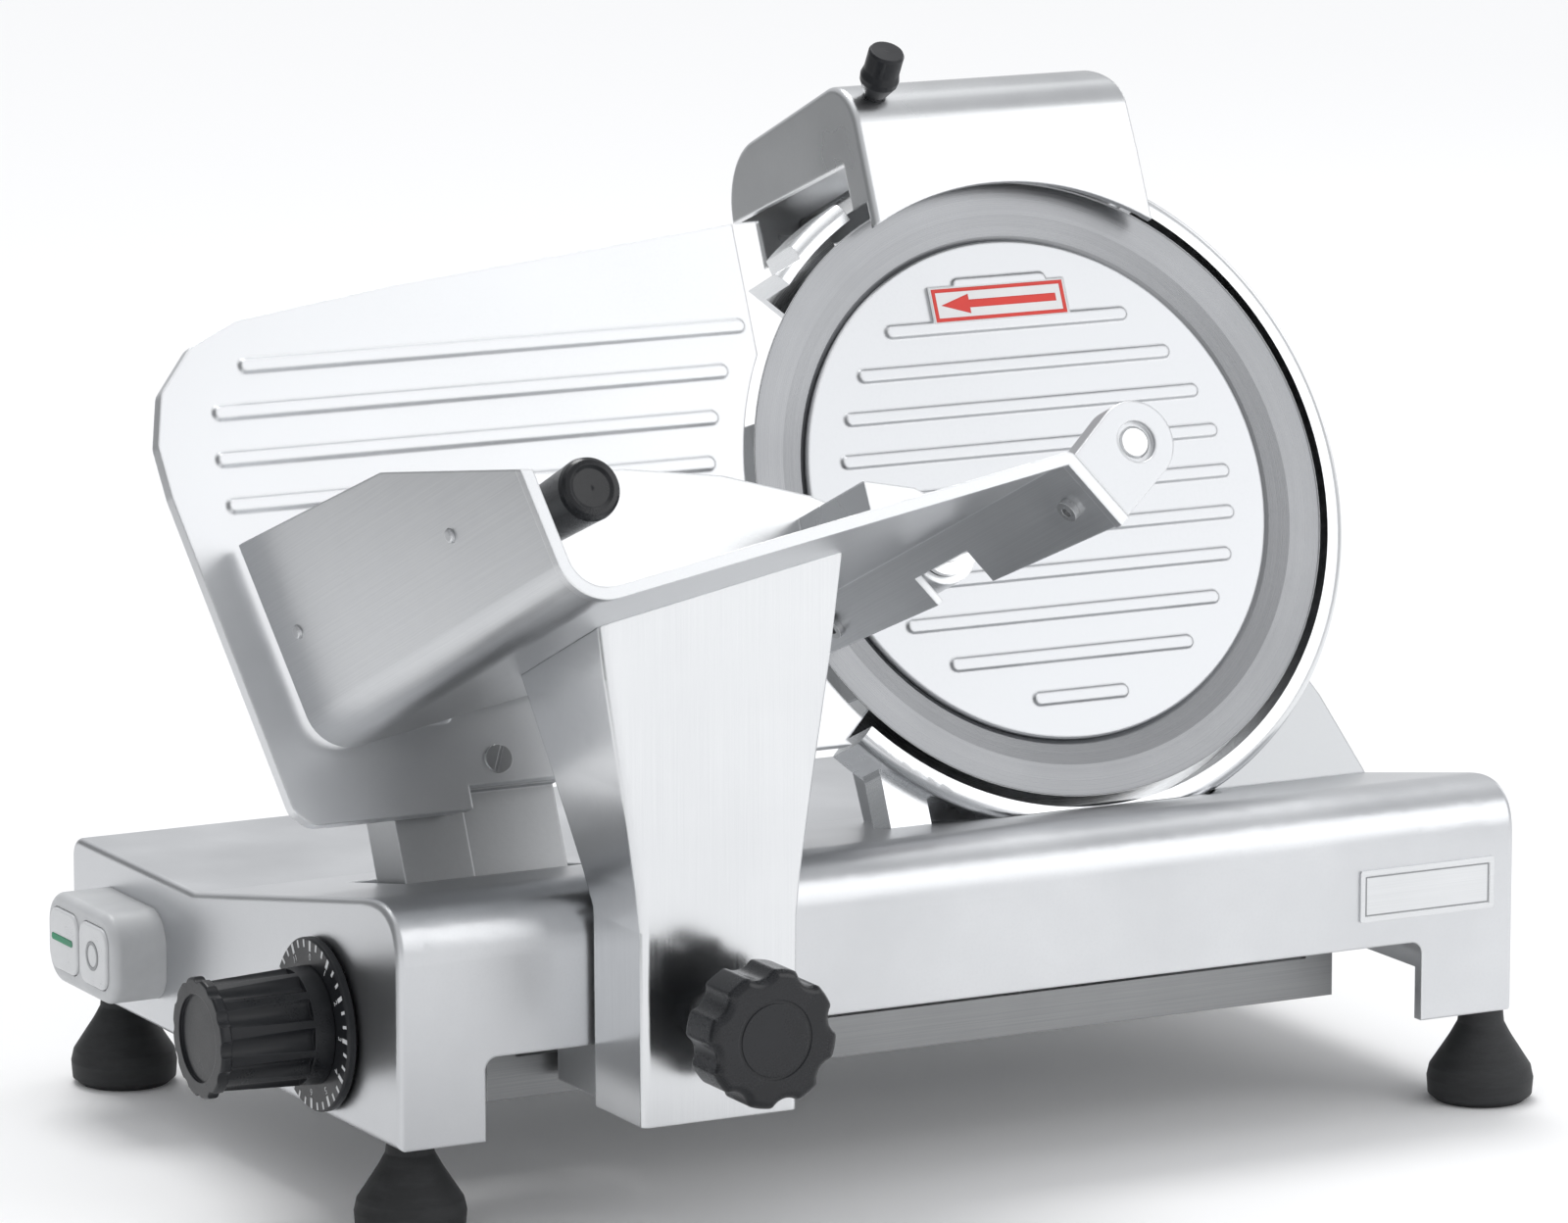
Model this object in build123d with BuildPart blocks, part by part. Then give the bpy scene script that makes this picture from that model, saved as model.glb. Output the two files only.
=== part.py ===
from build123d import *
from math import sin, cos, radians, hypot, atan2, degrees
import os

# Gravity-feed deli slicer. Millimetres. Machine axes: +X along the base to the
# right of the operator, +Y away from the operator, +Z up, floor at z = 0.
# The machine datum is the front left corner of the base; every plane below is
# shifted by (CX, CY) so that the whole machine stands centred on the origin.

# ---------------------------------------------------------------- driving sizes
CX, CY = 222.0, 98.73            # machine datum to model origin
BASE_L, BASE_W = 482.0, 301.0   # base casting
LEG_Z = 37.0                    # underside of the four corners
SPAN_Z = 68.6                   # underside between the legs
REAR_Z = 98.0                   # flat rear deck
SKIN = 5.0                      # casting wall
TILT = 23.57                    # blade plane leans back from upright
BX, BY, BZ = 343.1, 130.6, 236.0   # blade centre
BLADE_R = 125.0
COVER_R = 101.3
GUARD_R = 137.5
ROD_Y, ROD_Z, ROD_R = 38.0, 86.0, 10.0      # carriage slide rod
DIAL_Y, DIAL_Z = 65.7, 71.7                 # thickness dial axis
GROD_X, GROD_P, GROD_R = -250.0, -143.0, 6.0  # gauge plate guide rod
TRAY_X, TRAY_P, TRAY_RISE = -326.0, -75.0, 9.9   # tray fold and floor rise
TRAY_BACK, TRAY_FRONT = 4.0, 238.0
SHEET = 3.0
PROD_X, PROD_P = -93.8, -38.0               # pusher rod axis
MOT_X, MOT_P = 60.0, -80.0                  # motor axis
SN, CS = sin(radians(TILT)), cos(radians(TILT))


def side(x):
    """Plane square to the base's length; local axes are (y, z), +out is +X."""
    return Plane(origin=(x - CX, -CY, 0), x_dir=(0, 1, 0), z_dir=(1, 0, 0))


def front(y):
    """Upright plane facing the operator; local axes are (x, z), +out is -Y."""
    return Plane(origin=(-CX, y - CY, 0), x_dir=(1, 0, 0), z_dir=(0, -1, 0))


def level(z):
    """Level plane; local axes are (x, y), +out is +Z."""
    return Plane(origin=(-CX, -CY, z), x_dir=(1, 0, 0), z_dir=(0, 0, 1))


def disc(off, x=0.0, p=0.0):
    """Plane parallel to the blade; local axes are (x, up the blade) from the
    blade centre, +out is towards the operator."""
    return Plane(
        origin=(BX + x - CX, BY + p * SN - off * CS - CY, BZ + p * CS + off * SN),
        x_dir=(1, 0, 0),
        z_dir=(0, -CS, SN),
    )


def section(x):
    """Cut square to X through the blade frame; local axes are (off, p),
    +out is -X."""
    return Plane(origin=(BX + x - CX, BY - CY, BZ), x_dir=(0, -CS, SN), z_dir=(-1, 0, 0))


def upblade(p, x=0.0, off=0.0):
    """Plane square to the blade's up direction; local axes are (x, -off),
    +out is up the blade."""
    return Plane(
        origin=(BX + x - CX, BY + p * SN - off * CS - CY, BZ + p * CS + off * SN),
        x_dir=(1, 0, 0),
        z_dir=(0, SN, CS),
    )


os.makedirs("parts", exist_ok=True)

# ------------------------------------------------------------------ base casting
FEET = [(14.4, 21.6), (474.0, 10.0), (14.4, 285.0), (474.0, 291.0)]
COVER_POSTS = [(56.0, 150.0), (56.0, 282.0), (424.0, 118.0), (424.0, 282.0)]

with BuildPart() as base_outer:
    with BuildSketch(side(0)):
        with BuildLine():
            Line((0, LEG_Z), (0, 106))
            Bezier((0, 106), (0, 131.8), (30, 126.3))
            Polyline((30, 126.3), (183.5, REAR_Z), (BASE_W - 8, REAR_Z))
            RadiusArc((BASE_W - 8, REAR_Z), (BASE_W, REAR_Z - 8), 8)
            Polyline((BASE_W, REAR_Z - 8), (BASE_W, LEG_Z), (0, LEG_Z))
        make_face()
    extrude(amount=BASE_L)
    ends = base_outer.faces().sort_by(Axis.X)
    fillet(ends[0].edges() + ends[-1].edges(), radius=2.5)

with BuildPart() as base_cavity:
    with BuildSketch(side(6)):
        with BuildLine():
            Line((SKIN, 68), (SKIN, 104))
            Bezier((SKIN, 104), (SKIN, 126.0), (31, 121.1))
            Polyline((31, 121.1), (183, REAR_Z - SKIN), (BASE_W - SKIN, REAR_Z - SKIN),
                     (BASE_W - SKIN, 68), (SKIN, 68))
        make_face()
    extrude(amount=BASE_L - 12)
    with BuildSketch(level(36)):
        with Locations((17.5, BASE_W / 2)):
            Rectangle(23, BASE_W - 12)
        with Locations((461, BASE_W / 2)):
            Rectangle(30, BASE_W - 12)
    extrude(amount=33)
    # what stays solid inside the hollow: foot bosses, rod bosses, rail lugs,
    # gauge rod lugs, cover posts, the dial boss and the floor of the guard pocket
    with BuildSketch(level(36)):
        with Locations(FEET[0], FEET[2]):
            Circle(9)
        with Locations(FEET[1], FEET[3]):
            Circle(7.5)
    extrude(amount=40, mode=Mode.SUBTRACT)
    for x0, dx in ((5, 7.5), (466, 12)):
        with BuildSketch(side(x0)):
            with Locations((ROD_Y, ROD_Z)):
                Circle(17)
        extrude(amount=dx, mode=Mode.SUBTRACT)
    with BuildSketch(level(60)):
        for x0 in (66, 424):
            with Locations((x0, 59)):
                Rectangle(12, 10)
        with Locations(*COVER_POSTS):
            Circle(6)
    extrude(amount=70, mode=Mode.SUBTRACT)
    with BuildSketch(disc(-6)):
        with Locations((GROD_X, -141)):
            Rectangle(24, 24)
    extrude(amount=8, mode=Mode.SUBTRACT)
    with BuildSketch(disc(-67)):
        with Locations((GROD_X, -126)):
            Rectangle(24, 52)
    extrude(amount=7, mode=Mode.SUBTRACT)
    with BuildSketch(side(5)):
        with Locations((DIAL_Y, DIAL_Z)):
            Circle(14)
    extrude(amount=7, mode=Mode.SUBTRACT)
    with BuildSketch(disc(-35)):
        Circle(146)
        with Locations((0, 20)):
            Rectangle(400, 280, mode=Mode.SUBTRACT)
    extrude(amount=42, mode=Mode.SUBTRACT)

with BuildPart() as base_casting:
    add(base_outer.part)
    with BuildSketch(front(-2)) as span:
        with Locations(((35 + 440) / 2, (30 + SPAN_Z) / 2)):
            Rectangle(405, SPAN_Z - 30)
        fillet(span.vertices().group_by(Axis.Z)[-1], radius=5)
    extrude(amount=-(BASE_W + 4), mode=Mode.SUBTRACT)
    add(base_cavity.part, mode=Mode.SUBTRACT)
    # the right end is open between its two corner legs, and inside them
    with BuildSketch(level(36)):
        with Locations((461.5, BASE_W / 2)):
            Rectangle(45, BASE_W - 68)
        with Locations((443, BASE_W / 2)):
            Rectangle(8, BASE_W - 2 * SKIN)
    extrude(amount=21.5, mode=Mode.SUBTRACT)
    # guard pocket behind the front crest
    with BuildSketch(disc(-30)):
        Circle(GUARD_R + 2.5)
    extrude(amount=32, mode=Mode.SUBTRACT)
    # slot the gauge support passes through
    with BuildSketch(disc(-60)):
        with Locations((-260.5, -125)):
            Rectangle(77, 60)
    extrude(amount=53, mode=Mode.SUBTRACT)
    # opening under the motor
    with BuildSketch(level(88)):
        with Locations((403, 200)):
            Rectangle(80, 96)
    extrude(amount=20, mode=Mode.SUBTRACT)
    # foot stud holes
    with BuildSketch(level(36)):
        with Locations(*FEET):
            Circle(4.05)
    extrude(amount=27, mode=Mode.SUBTRACT)
    # slide rod seats
    with BuildSketch(side(4)):
        with Locations((ROD_Y, ROD_Z)):
            Circle(ROD_R + 0.02)
    extrude(amount=BASE_L - 8, mode=Mode.SUBTRACT)
    # gauge rod seats
    with BuildSketch(disc(-66)):
        with Locations((GROD_X, GROD_P)):
            Circle(GROD_R + 0.02)
    extrude(amount=67, mode=Mode.SUBTRACT)
    # dial bearing, switch wiring hole, passage for the cam follower
    with BuildSketch(side(-1)):
        with Locations((DIAL_Y, DIAL_Z)):
            Circle(6.05)
        with Locations((242, 66.5)):
            Circle(9)
    extrude(amount=14, mode=Mode.SUBTRACT)
    with BuildSketch(side(28)):
        with Locations((86, 62)):
            Rectangle(28, 20)
    extrude(amount=14, mode=Mode.SUBTRACT)
    # cord gland hole in the rear wall
    with BuildSketch(front(BASE_W - SKIN - 1)):
        with Locations((90, 82)):
            Circle(6.1)
    extrude(amount=-8, mode=Mode.SUBTRACT)
    # screw holes for the bottom cover and the rail
    with BuildSketch(level(60)):
        with Locations(*COVER_POSTS):
            Circle(2.05)
    extrude(amount=20, mode=Mode.SUBTRACT)
    with BuildSketch(front(53)):
        with Locations((66, 76), (424, 76)):
            Circle(2.05)
    extrude(amount=-9, mode=Mode.SUBTRACT)
base_casting.part.label = "base_casting"
export_step(base_casting.part, "parts/base_casting.step")

# --------------------------------------------------------------------- the feet
with BuildPart() as rubber_feet:
    for fx, fy in FEET:
        with BuildSketch(Plane(origin=(fx - CX, fy - CY, 0), x_dir=(1, 0, 0), z_dir=(0, -1, 0))):
            with BuildLine():
                Polyline((0, 0), (17.5, 0), (20.5, 2.5), (21, 9), (20, 13.5), (12.2, 25.5),
                         (9.2, 31), (8.6, 37), (4.1, 37), (4.1, 8), (0, 8), (0, 0))
            make_face()
        revolve(axis=Axis((fx - CX, fy - CY, 0), (0, 0, 1)))
rubber_feet.part.label = "rubber_feet"
export_step(rubber_feet.part, "parts/rubber_feet.step")

with BuildPart() as foot_studs:
    with BuildSketch(level(8.3)):
        with Locations(*FEET):
            Circle(4.0)
    extrude(amount=52)
foot_studs.part.label = "foot_studs"
export_step(foot_studs.part, "parts/foot_studs.step")

# ----------------------------------------------------------------- bottom cover
with BuildPart() as bottom_cover:
    with BuildSketch(level(67.0)) as bc:
        with Locations((237.5, 201)):
            RectangleRounded(397, 182, 6)
        with Locations(*COVER_POSTS):
            Circle(2.3, mode=Mode.SUBTRACT)
        with Locations((237.5, 230)):
            with GridLocations(14, 0, 9, 1):
                SlotOverall(40, 4, rotation=90, mode=Mode.SUBTRACT)
    extrude(amount=1.5)
bottom_cover.part.label = "bottom_cover"
export_step(bottom_cover.part, "parts/bottom_cover.step")

# ----------------------------------------------------------- carriage guide rail
with BuildPart() as guide_rail:
    with BuildSketch(front(54)):
        with BuildLine():
            Polyline((60, 38), (430, 38), (430, 81), (418, 81), (418, 54), (72, 54), (72, 81),
                     (60, 81), (60, 38))
        make_face()
        with Locations((66, 76), (424, 76)):
            Circle(2.3, mode=Mode.SUBTRACT)
    extrude(amount=4)
guide_rail.part.label = "guide_rail"
export_step(guide_rail.part, "parts/guide_rail.step")

with BuildPart() as slide_rod:
    with BuildSketch(side(4.2)):
        with Locations((ROD_Y, ROD_Z)):
            Circle(ROD_R)
    extrude(amount=BASE_L - 8.4)
    chamfer(slide_rod.edges().filter_by(GeomType.CIRCLE), length=1)
slide_rod.part.label = "slide_rod"
export_step(slide_rod.part, "parts/slide_rod.step")

# ------------------------------------------------------------------ switch block
SW_Y, SW_Z = 242.0, 66.5
with BuildPart() as switch_housing:
    with BuildSketch(side(-22)):
        with Locations((SW_Y, SW_Z)):
            RectangleRounded(66, 36, 13)
    extrude(amount=22)
    fillet(switch_housing.faces().sort_by(Axis.X)[0].edges(), radius=3.5)
    with BuildSketch(side(-19.5)):
        with Locations((SW_Y, SW_Z)):
            RectangleRounded(60, 30, 10)
    extrude(amount=20, mode=Mode.SUBTRACT)
    with BuildSketch(side(-23)):
        with Locations((SW_Y + 14.2, SW_Z), (SW_Y - 14.2, SW_Z)):
            RectangleRounded(27, 25, 6.5)
    extrude(amount=5, mode=Mode.SUBTRACT)
switch_housing.part.label = "switch_housing"
export_step(switch_housing.part, "parts/switch_housing.step")

for nm, dy in (("start_button", 14.2), ("stop_button", -14.2)):
    with BuildPart() as button:
        with BuildSketch(side(-23.2)):
            with Locations((SW_Y + dy, SW_Z)):
                RectangleRounded(26.4, 24.4, 6.2)
        extrude(amount=8)
        fillet(button.faces().sort_by(Axis.X)[0].edges(), radius=1)
        with BuildSketch(side(-15.4)):
            with Locations((SW_Y + dy, SW_Z)):
                Circle(4)
        extrude(amount=9)
    button.part.label = nm
    export_step(button.part, "parts/" + nm + ".step")

# ------------------------------------------------------------- thickness dial set
with BuildPart() as dial_knob:
    with BuildSketch(side(-51)):
        with Locations((DIAL_Y, DIAL_Z)):
            Circle(22.8)
    extrude(amount=4.5)
    fillet(dial_knob.edges().filter_by(GeomType.CIRCLE), radius=1.2)
    with BuildSketch(side(-46.6)):
        with Locations((DIAL_Y, DIAL_Z)):
            Circle(20.4)
    extrude(amount=41.4, taper=-2.6)
    # finger grooves along the barrel and notches in the rim
    with BuildSketch(side(-46)):
        with Locations((DIAL_Y, DIAL_Z)):
            with PolarLocations(24.6, 12):
                Circle(5.4)
    extrude(amount=33, mode=Mode.SUBTRACT)
    with BuildSketch(side(-52)):
        with Locations((DIAL_Y, DIAL_Z)):
            with PolarLocations(25.2, 12):
                Circle(4.2)
    extrude(amount=8, mode=Mode.SUBTRACT)
    with BuildSketch(side(-52)):
        with Locations((DIAL_Y, DIAL_Z)):
            Circle(16.5)
    extrude(amount=2.2, mode=Mode.SUBTRACT)
    with BuildSketch(side(-46)):
        with Locations((DIAL_Y, DIAL_Z)):
            Circle(6.02)
    extrude(amount=42, mode=Mode.SUBTRACT)
dial_knob.part.label = "dial_knob"
export_step(dial_knob.part, "parts/dial_knob.step")

with BuildPart() as dial_scale_ring:
    with BuildSketch(side(-5)):
        with Locations((DIAL_Y, DIAL_Z)):
            Circle(32.7)
            Circle(6.02, mode=Mode.SUBTRACT)
    extrude(amount=4)
    chamfer(dial_scale_ring.edges().filter_by(GeomType.CIRCLE).group_by(SortBy.RADIUS)[-1], length=0.8)
dial_scale_ring.part.label = "dial_scale_ring"
export_step(dial_scale_ring.part, "parts/dial_scale_ring.step")

with BuildPart() as dial_shaft:
    with BuildSketch(side(-46)):
        with Locations((DIAL_Y, DIAL_Z)):
            Circle(6)
    extrude(amount=72)
    chamfer(dial_shaft.edges().filter_by(GeomType.CIRCLE), length=0.8)
dial_shaft.part.label = "dial_shaft"
export_step(dial_shaft.part, "parts/dial_shaft.step")

# Spiral cam: the radius towards the follower grows 12 mm over 300 degrees.
# The follower lies along -n from the dial axis, at -23.57 degrees in (y, z).
CAM_TURN, CAM_RISE, CAM_R0 = 300.0, 12.0, 7.5
FOLL = CAM_R0 + 4.0 + 0.6       # follower axis distance at the zero setting
cam_pts = []
for k in range(0, 67):
    turn = -28 + k * (CAM_TURN + 48) / 66
    rr = CAM_R0 + CAM_RISE * min(max(turn, 0), CAM_TURN) / CAM_TURN
    ang = radians(-TILT + turn)
    cam_pts.append((DIAL_Y + rr * cos(ang), DIAL_Z + rr * sin(ang)))
with BuildPart() as dial_cam:
    with BuildSketch(side(14)):
        with BuildLine():
            Polyline(*cam_pts, cam_pts[0])
        make_face()
        with Locations((DIAL_Y, DIAL_Z)):
            Circle(6.02, mode=Mode.SUBTRACT)
    extrude(amount=10)
dial_cam.part.label = "dial_cam"
export_step(dial_cam.part, "parts/dial_cam.step")

# ------------------------------------------------------------------ gauge plate
with BuildPart() as gauge_plate:
    with BuildSketch(disc(-8)) as gp:
        with BuildLine():
            Polyline((-60, 116), (-114, 116), (-262, 102), (-329, 93), (-349, 84), (-364, 67),
                     (-369, 47), (-367, 27), (-341, -97), (-334, -103), (-60, -103), (-60, 116))
        make_face()
        fillet(gp.vertices().filter_by(lambda v: v.X < BX - CX - 300), radius=7)
        Circle(BLADE_R + 3.5, mode=Mode.SUBTRACT)
        with Locations((-254, -85), (-254, -58)):
            Circle(3.1, mode=Mode.SUBTRACT)
    extrude(amount=6)
    # keep only the part left of the blade
    with BuildSketch(disc(-10)):
        with Locations((-47, 100)):
            Rectangle(130, 200)
        with Locations((-28, -100)):
            Rectangle(130, 200)
        with Locations((-168, -104)):
            Rectangle(200, 20)
        with BuildLine():
            Polyline((0, 0), (-106, -92), (-96, -101.5), (-90, -107), (0, 0))
        make_face()
    extrude(amount=12, mode=Mode.SUBTRACT)
    # back stiffening flange
    with BuildSketch(disc(-12)):
        with BuildLine():
            Polyline((-130, 112), (-262, 99.5), (-262, 95.5), (-130, 108), (-130, 112))
        make_face()
        with Locations((-298.5, -100)):
            Rectangle(53, 5)
    extrude(amount=4.2)
    # ribs along the feed direction
    with BuildSketch(disc(-2)):
        for xa, xb, pr in ((-331, -115, 75), (-345, -126, 57.5), (-347, -134, 39.5),
                           (-346, -139, 21.5), (-343, -142, 4), (-339, -142, -13.5),
                           (-335, -139, -31), (-331, -134, -48.5), (-326, -270, -66)):
            with Locations(((xa + xb) / 2, pr)):
                SlotOverall(xb - xa, 6.4)
    extrude(amount=1.5, taper=38)
gauge_plate.part.label = "gauge_plate"
export_step(gauge_plate.part, "parts/gauge_plate.step")

with BuildPart() as gauge_screws:
    with BuildSketch(disc(-2)):
        with Locations((-254, -85), (-254, -58)):
            Circle(5.5)
    extrude(amount=0.9)
    with BuildSketch(disc(-28)):
        with Locations((-254, -85), (-254, -58)):
            Circle(3.0)
    extrude(amount=26.1)
    with BuildSketch(disc(-1.6)):
        with Locations((-254, -85), (-254, -58)):
            Rectangle(12, 1.2, rotation=65)
    extrude(amount=1, mode=Mode.SUBTRACT)
gauge_screws.part.label = "gauge_screws"
export_step(gauge_screws.part, "parts/gauge_screws.step")

with BuildPart() as gauge_bracket:
    with BuildSketch(disc(-45)):
        with Locations((-246, -112)):
            Rectangle(40, 64)
    extrude(amount=27.5)
    with BuildSketch(disc(-30)):
        with Locations((-249.5, -72)):
            Rectangle(47, 44)
    extrude(amount=17.8)
    with BuildSketch(disc(-12.3)):
        with Locations((-249.5, -71)):
            Rectangle(47, 43)
    extrude(amount=4.3)
    with BuildSketch(disc(-40)):
        with Locations((-280.7, -113)):
            Rectangle(29, 50)
    extrude(amount=25)
    with BuildSketch(disc(-32)):
        with Locations((-249.5, -160)):
            Rectangle(47, 46)
    extrude(amount=22)
    with BuildSketch(disc(-46)):
        with Locations((GROD_X, GROD_P)):
            Circle(GROD_R + 0.05)
    extrude(amount=40, mode=Mode.SUBTRACT)
    with BuildSketch(disc(-28.2)):
        with Locations((-254, -85), (-254, -58)):
            Circle(3.1)
    extrude(amount=21, mode=Mode.SUBTRACT)
    with BuildSketch(disc(-40)):
        with Locations((-273.2, -99.4)):
            Circle(2.6)
    extrude(amount=30, mode=Mode.SUBTRACT)
    with BuildSketch(side(69)):
        with Locations((DIAL_Y + FOLL * CS, DIAL_Z - FOLL * SN)):
            Circle(4.02)
    extrude(amount=18.3, mode=Mode.SUBTRACT)
gauge_bracket.part.label = "gauge_bracket"
export_step(gauge_bracket.part, "parts/gauge_bracket.step")

with BuildPart() as cam_follower:
    with BuildSketch(side(13)):
        with Locations((DIAL_Y + FOLL * CS, DIAL_Z - FOLL * SN)):
            Circle(4)
    extrude(amount=74)
cam_follower.part.label = "cam_follower"
export_step(cam_follower.part, "parts/cam_follower.step")

with BuildPart() as gauge_rod:
    with BuildSketch(disc(-65.8)):
        with Locations((GROD_X, GROD_P)):
            Circle(GROD_R)
    extrude(amount=66.6)
gauge_rod.part.label = "gauge_rod"
export_step(gauge_rod.part, "parts/gauge_rod.step")

# ------------------------------------------------------------------- blade group
with BuildPart() as blade:
    with BuildSketch(section(0)):
        with BuildLine():
            Polyline((-8, 15), (-8, 96), (-3.4, 103.5), (-1.6, 112), (-0.35, 124.4), (0, BLADE_R),
                     (-0.5, BLADE_R), (-4.4, 117), (-7, 104), (-11, 95), (-11, 15), (-8, 15))
        make_face()
    revolve(axis=Axis(disc(0).origin, disc(0).z_dir))
    with BuildSketch(disc(-12)):
        with PolarLocations(22, 4):
            Circle(3.1)
    extrude(amount=5, mode=Mode.SUBTRACT)
blade.part.label = "blade"
export_step(blade.part, "parts/blade.step")

with BuildPart() as blade_cover:
    with BuildSketch(disc(-6.6)):
        Circle(94.5)
    extrude(amount=2)
    with BuildSketch(disc(-4.6)):
        Circle(COVER_R)
    extrude(amount=2.6)
    chamfer(blade_cover.edges().filter_by(GeomType.CIRCLE).sort_by(Axis(disc(0).origin, disc(0).z_dir))[-1], length=0.8)
    with BuildSketch(disc(-2)):
        for k in range(-5, 6):
            pr = 16.85 * k
            half = (87.0**2 - pr**2) ** 0.5
            with Locations((0, pr)):
                SlotOverall(2 * half, 6.2)
    extrude(amount=1.4, taper=38)
    with BuildSketch(disc(-2.2)):
        with Locations((-2, 76.2)):
            Rectangle(61.6, 15.6)
    extrude(amount=1.6)
    with BuildSketch(disc(-7)):
        Circle(4.1)
    extrude(amount=4.2, mode=Mode.SUBTRACT)
blade_cover.part.label = "blade_cover"
export_step(blade_cover.part, "parts/blade_cover.step")

with BuildPart() as blade_spindle:
    with BuildSketch(disc(-71)):
        Circle(10)
        Circle(4.6, mode=Mode.SUBTRACT)
    extrude(amount=57)
    with BuildSketch(disc(-66.9)):
        Circle(15)
        Circle(9.9, mode=Mode.SUBTRACT)
    extrude(amount=21)
blade_spindle.part.label = "blade_spindle"
export_step(blade_spindle.part, "parts/blade_spindle.step")

with BuildPart() as spindle_bearings:
    for o0 in (-44.5, -26.5):
        with BuildSketch(disc(o0)):
            Circle(21)
            Circle(10.03, mode=Mode.SUBTRACT)
        extrude(amount=12)
        with BuildSketch(disc(o0 + 11)):
            Circle(18.3)
            Circle(13, mode=Mode.SUBTRACT)
        extrude(amount=1, mode=Mode.SUBTRACT)
spindle_bearings.part.label = "spindle_bearings"
export_step(spindle_bearings.part, "parts/spindle_bearings.step")

PUL_R = 56.0
with BuildPart() as blade_pulley:
    with BuildSketch(section(0)):
        with BuildLine():
            Polyline((-45, 21.02), (-45, 27), (-41.5, 29), (-41.5, 50), (-49, 52), (-49, PUL_R + 1.5),
                     (-47.6, PUL_R + 1.5), (-47.6, PUL_R), (-33, PUL_R), (-33, PUL_R + 1.5),
                     (-31.6, PUL_R + 1.5), (-31.6, 52), (-37.5, 50), (-37.5, 30), (-11.1, 30),
                     (-11.1, 16), (-13.9, 16), (-13.9, 21.02), (-45, 21.02))
        make_face()
    revolve(axis=Axis(disc(0).origin, disc(0).z_dir))
    with BuildSketch(disc(-43)):
        with PolarLocations(40, 6):
            Circle(6)
    extrude(amount=7, mode=Mode.SUBTRACT)
    with BuildSketch(disc(-12.9)):
        with PolarLocations(22, 4):
            Circle(2.6)
    extrude(amount=3, mode=Mode.SUBTRACT)
blade_pulley.part.label = "blade_pulley"
export_step(blade_pulley.part, "parts/blade_pulley.step")

with BuildPart() as blade_screws:
    with BuildSketch(disc(-7.95)):
        with PolarLocations(22, 4):
            Circle(4.6)
    extrude(amount=1.0)
    with BuildSketch(disc(-12.8)):
        with PolarLocations(22, 4):
            Circle(2.5)
    extrude(amount=4.9)
    with BuildSketch(disc(-7.4)):
        with PolarLocations(22, 4):
            RegularPolygon(2.0, 6)
    extrude(amount=1, mode=Mode.SUBTRACT)
blade_screws.part.label = "blade_screws"
export_step(blade_screws.part, "parts/blade_screws.step")

with BuildPart() as cover_tie_rod:
    with BuildSketch(disc(-104)):
        Circle(4)
    extrude(amount=101.2)
    with BuildSketch(disc(-13.4)):
        Circle(7)
    extrude(amount=6.6)
cover_tie_rod.part.label = "cover_tie_rod"
export_step(cover_tie_rod.part, "parts/cover_tie_rod.step")

with BuildPart() as cover_lock_knob:
    with BuildSketch(disc(-100)):
        Circle(17)
    extrude(amount=14)
    fillet(cover_lock_knob.edges().filter_by(GeomType.CIRCLE), radius=2)
    with BuildSketch(disc(-101)):
        with PolarLocations(19.5, 8):
            Circle(4)
    extrude(amount=16, mode=Mode.SUBTRACT)
    with BuildSketch(disc(-87)):
        Circle(10)
    extrude(amount=11)
    with BuildSketch(disc(-101)):
        Circle(4.02)
    extrude(amount=26, mode=Mode.SUBTRACT)
    with BuildSketch(disc(-101)):
        Circle(4.02)
    extrude(amount=1, mode=Mode.SUBTRACT)
cover_lock_knob.part.label = "cover_lock_knob"
export_step(cover_lock_knob.part, "parts/cover_lock_knob.step")

# ------------------------------------------------------------- housing and guard
HOUSE = [(-72, 0), (-66, -168), (148, -168), (135, -122), (122, -90), (72, 0)]
HOUSE_IN = [(-67, 0), (-61, -172), (144, -172), (130, -123), (117, -92), (67, 0)]
with BuildPart() as blade_housing:
    with BuildSketch(disc(-72)):
        Circle(72)
        with BuildLine():
            Polyline(*HOUSE, HOUSE[0])
        make_face()
    extrude(amount=46)
    with BuildSketch(disc(-67)):
        Circle(67)
        with BuildLine():
            Polyline(*HOUSE_IN, HOUSE_IN[0])
        make_face()
    extrude(amount=37, mode=Mode.SUBTRACT)
    with BuildSketch(disc(-31)):
        Circle(65)
    extrude(amount=6, mode=Mode.SUBTRACT)
    # boss for the sharpener post on top of the housing
    with BuildSketch(upblade(64)):
        with Locations((0, 58)):
            Circle(13)
    extrude(amount=31)
    with BuildSketch(disc(-71)):
        with BuildLine():
            Polyline((-30, 62), (-12, 92), (12, 92), (30, 62), (-30, 62))
        make_face()
    extrude(amount=6)
    with BuildSketch(disc(-71)):
        Circle(66.9)
    extrude(amount=40, mode=Mode.SUBTRACT)
    with BuildSketch(disc(-72)):
        Circle(68)
    extrude(amount=5)
    # spindle seat, motor opening, tie rod way, post hole
    with BuildSketch(disc(-73)):
        Circle(10.02)
        with Locations((MOT_X, MOT_P)):
            Circle(17)
            with PolarLocations(25, 4, start_angle=45):
                Circle(2.6)
    extrude(amount=7, mode=Mode.SUBTRACT)
    with BuildSketch(upblade(72)):
        with Locations((0, 58)):
            Circle(7.02)
    extrude(amount=30, mode=Mode.SUBTRACT)
    add(base_outer.part, mode=Mode.SUBTRACT)
    with BuildSketch(level(0)):
        with Locations((BX, BY + 30)):
            Rectangle(500, 500)
    extrude(amount=REAR_Z, mode=Mode.SUBTRACT)
blade_housing.part.label = "blade_housing"
export_step(blade_housing.part, "parts/blade_housing.step")


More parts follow.
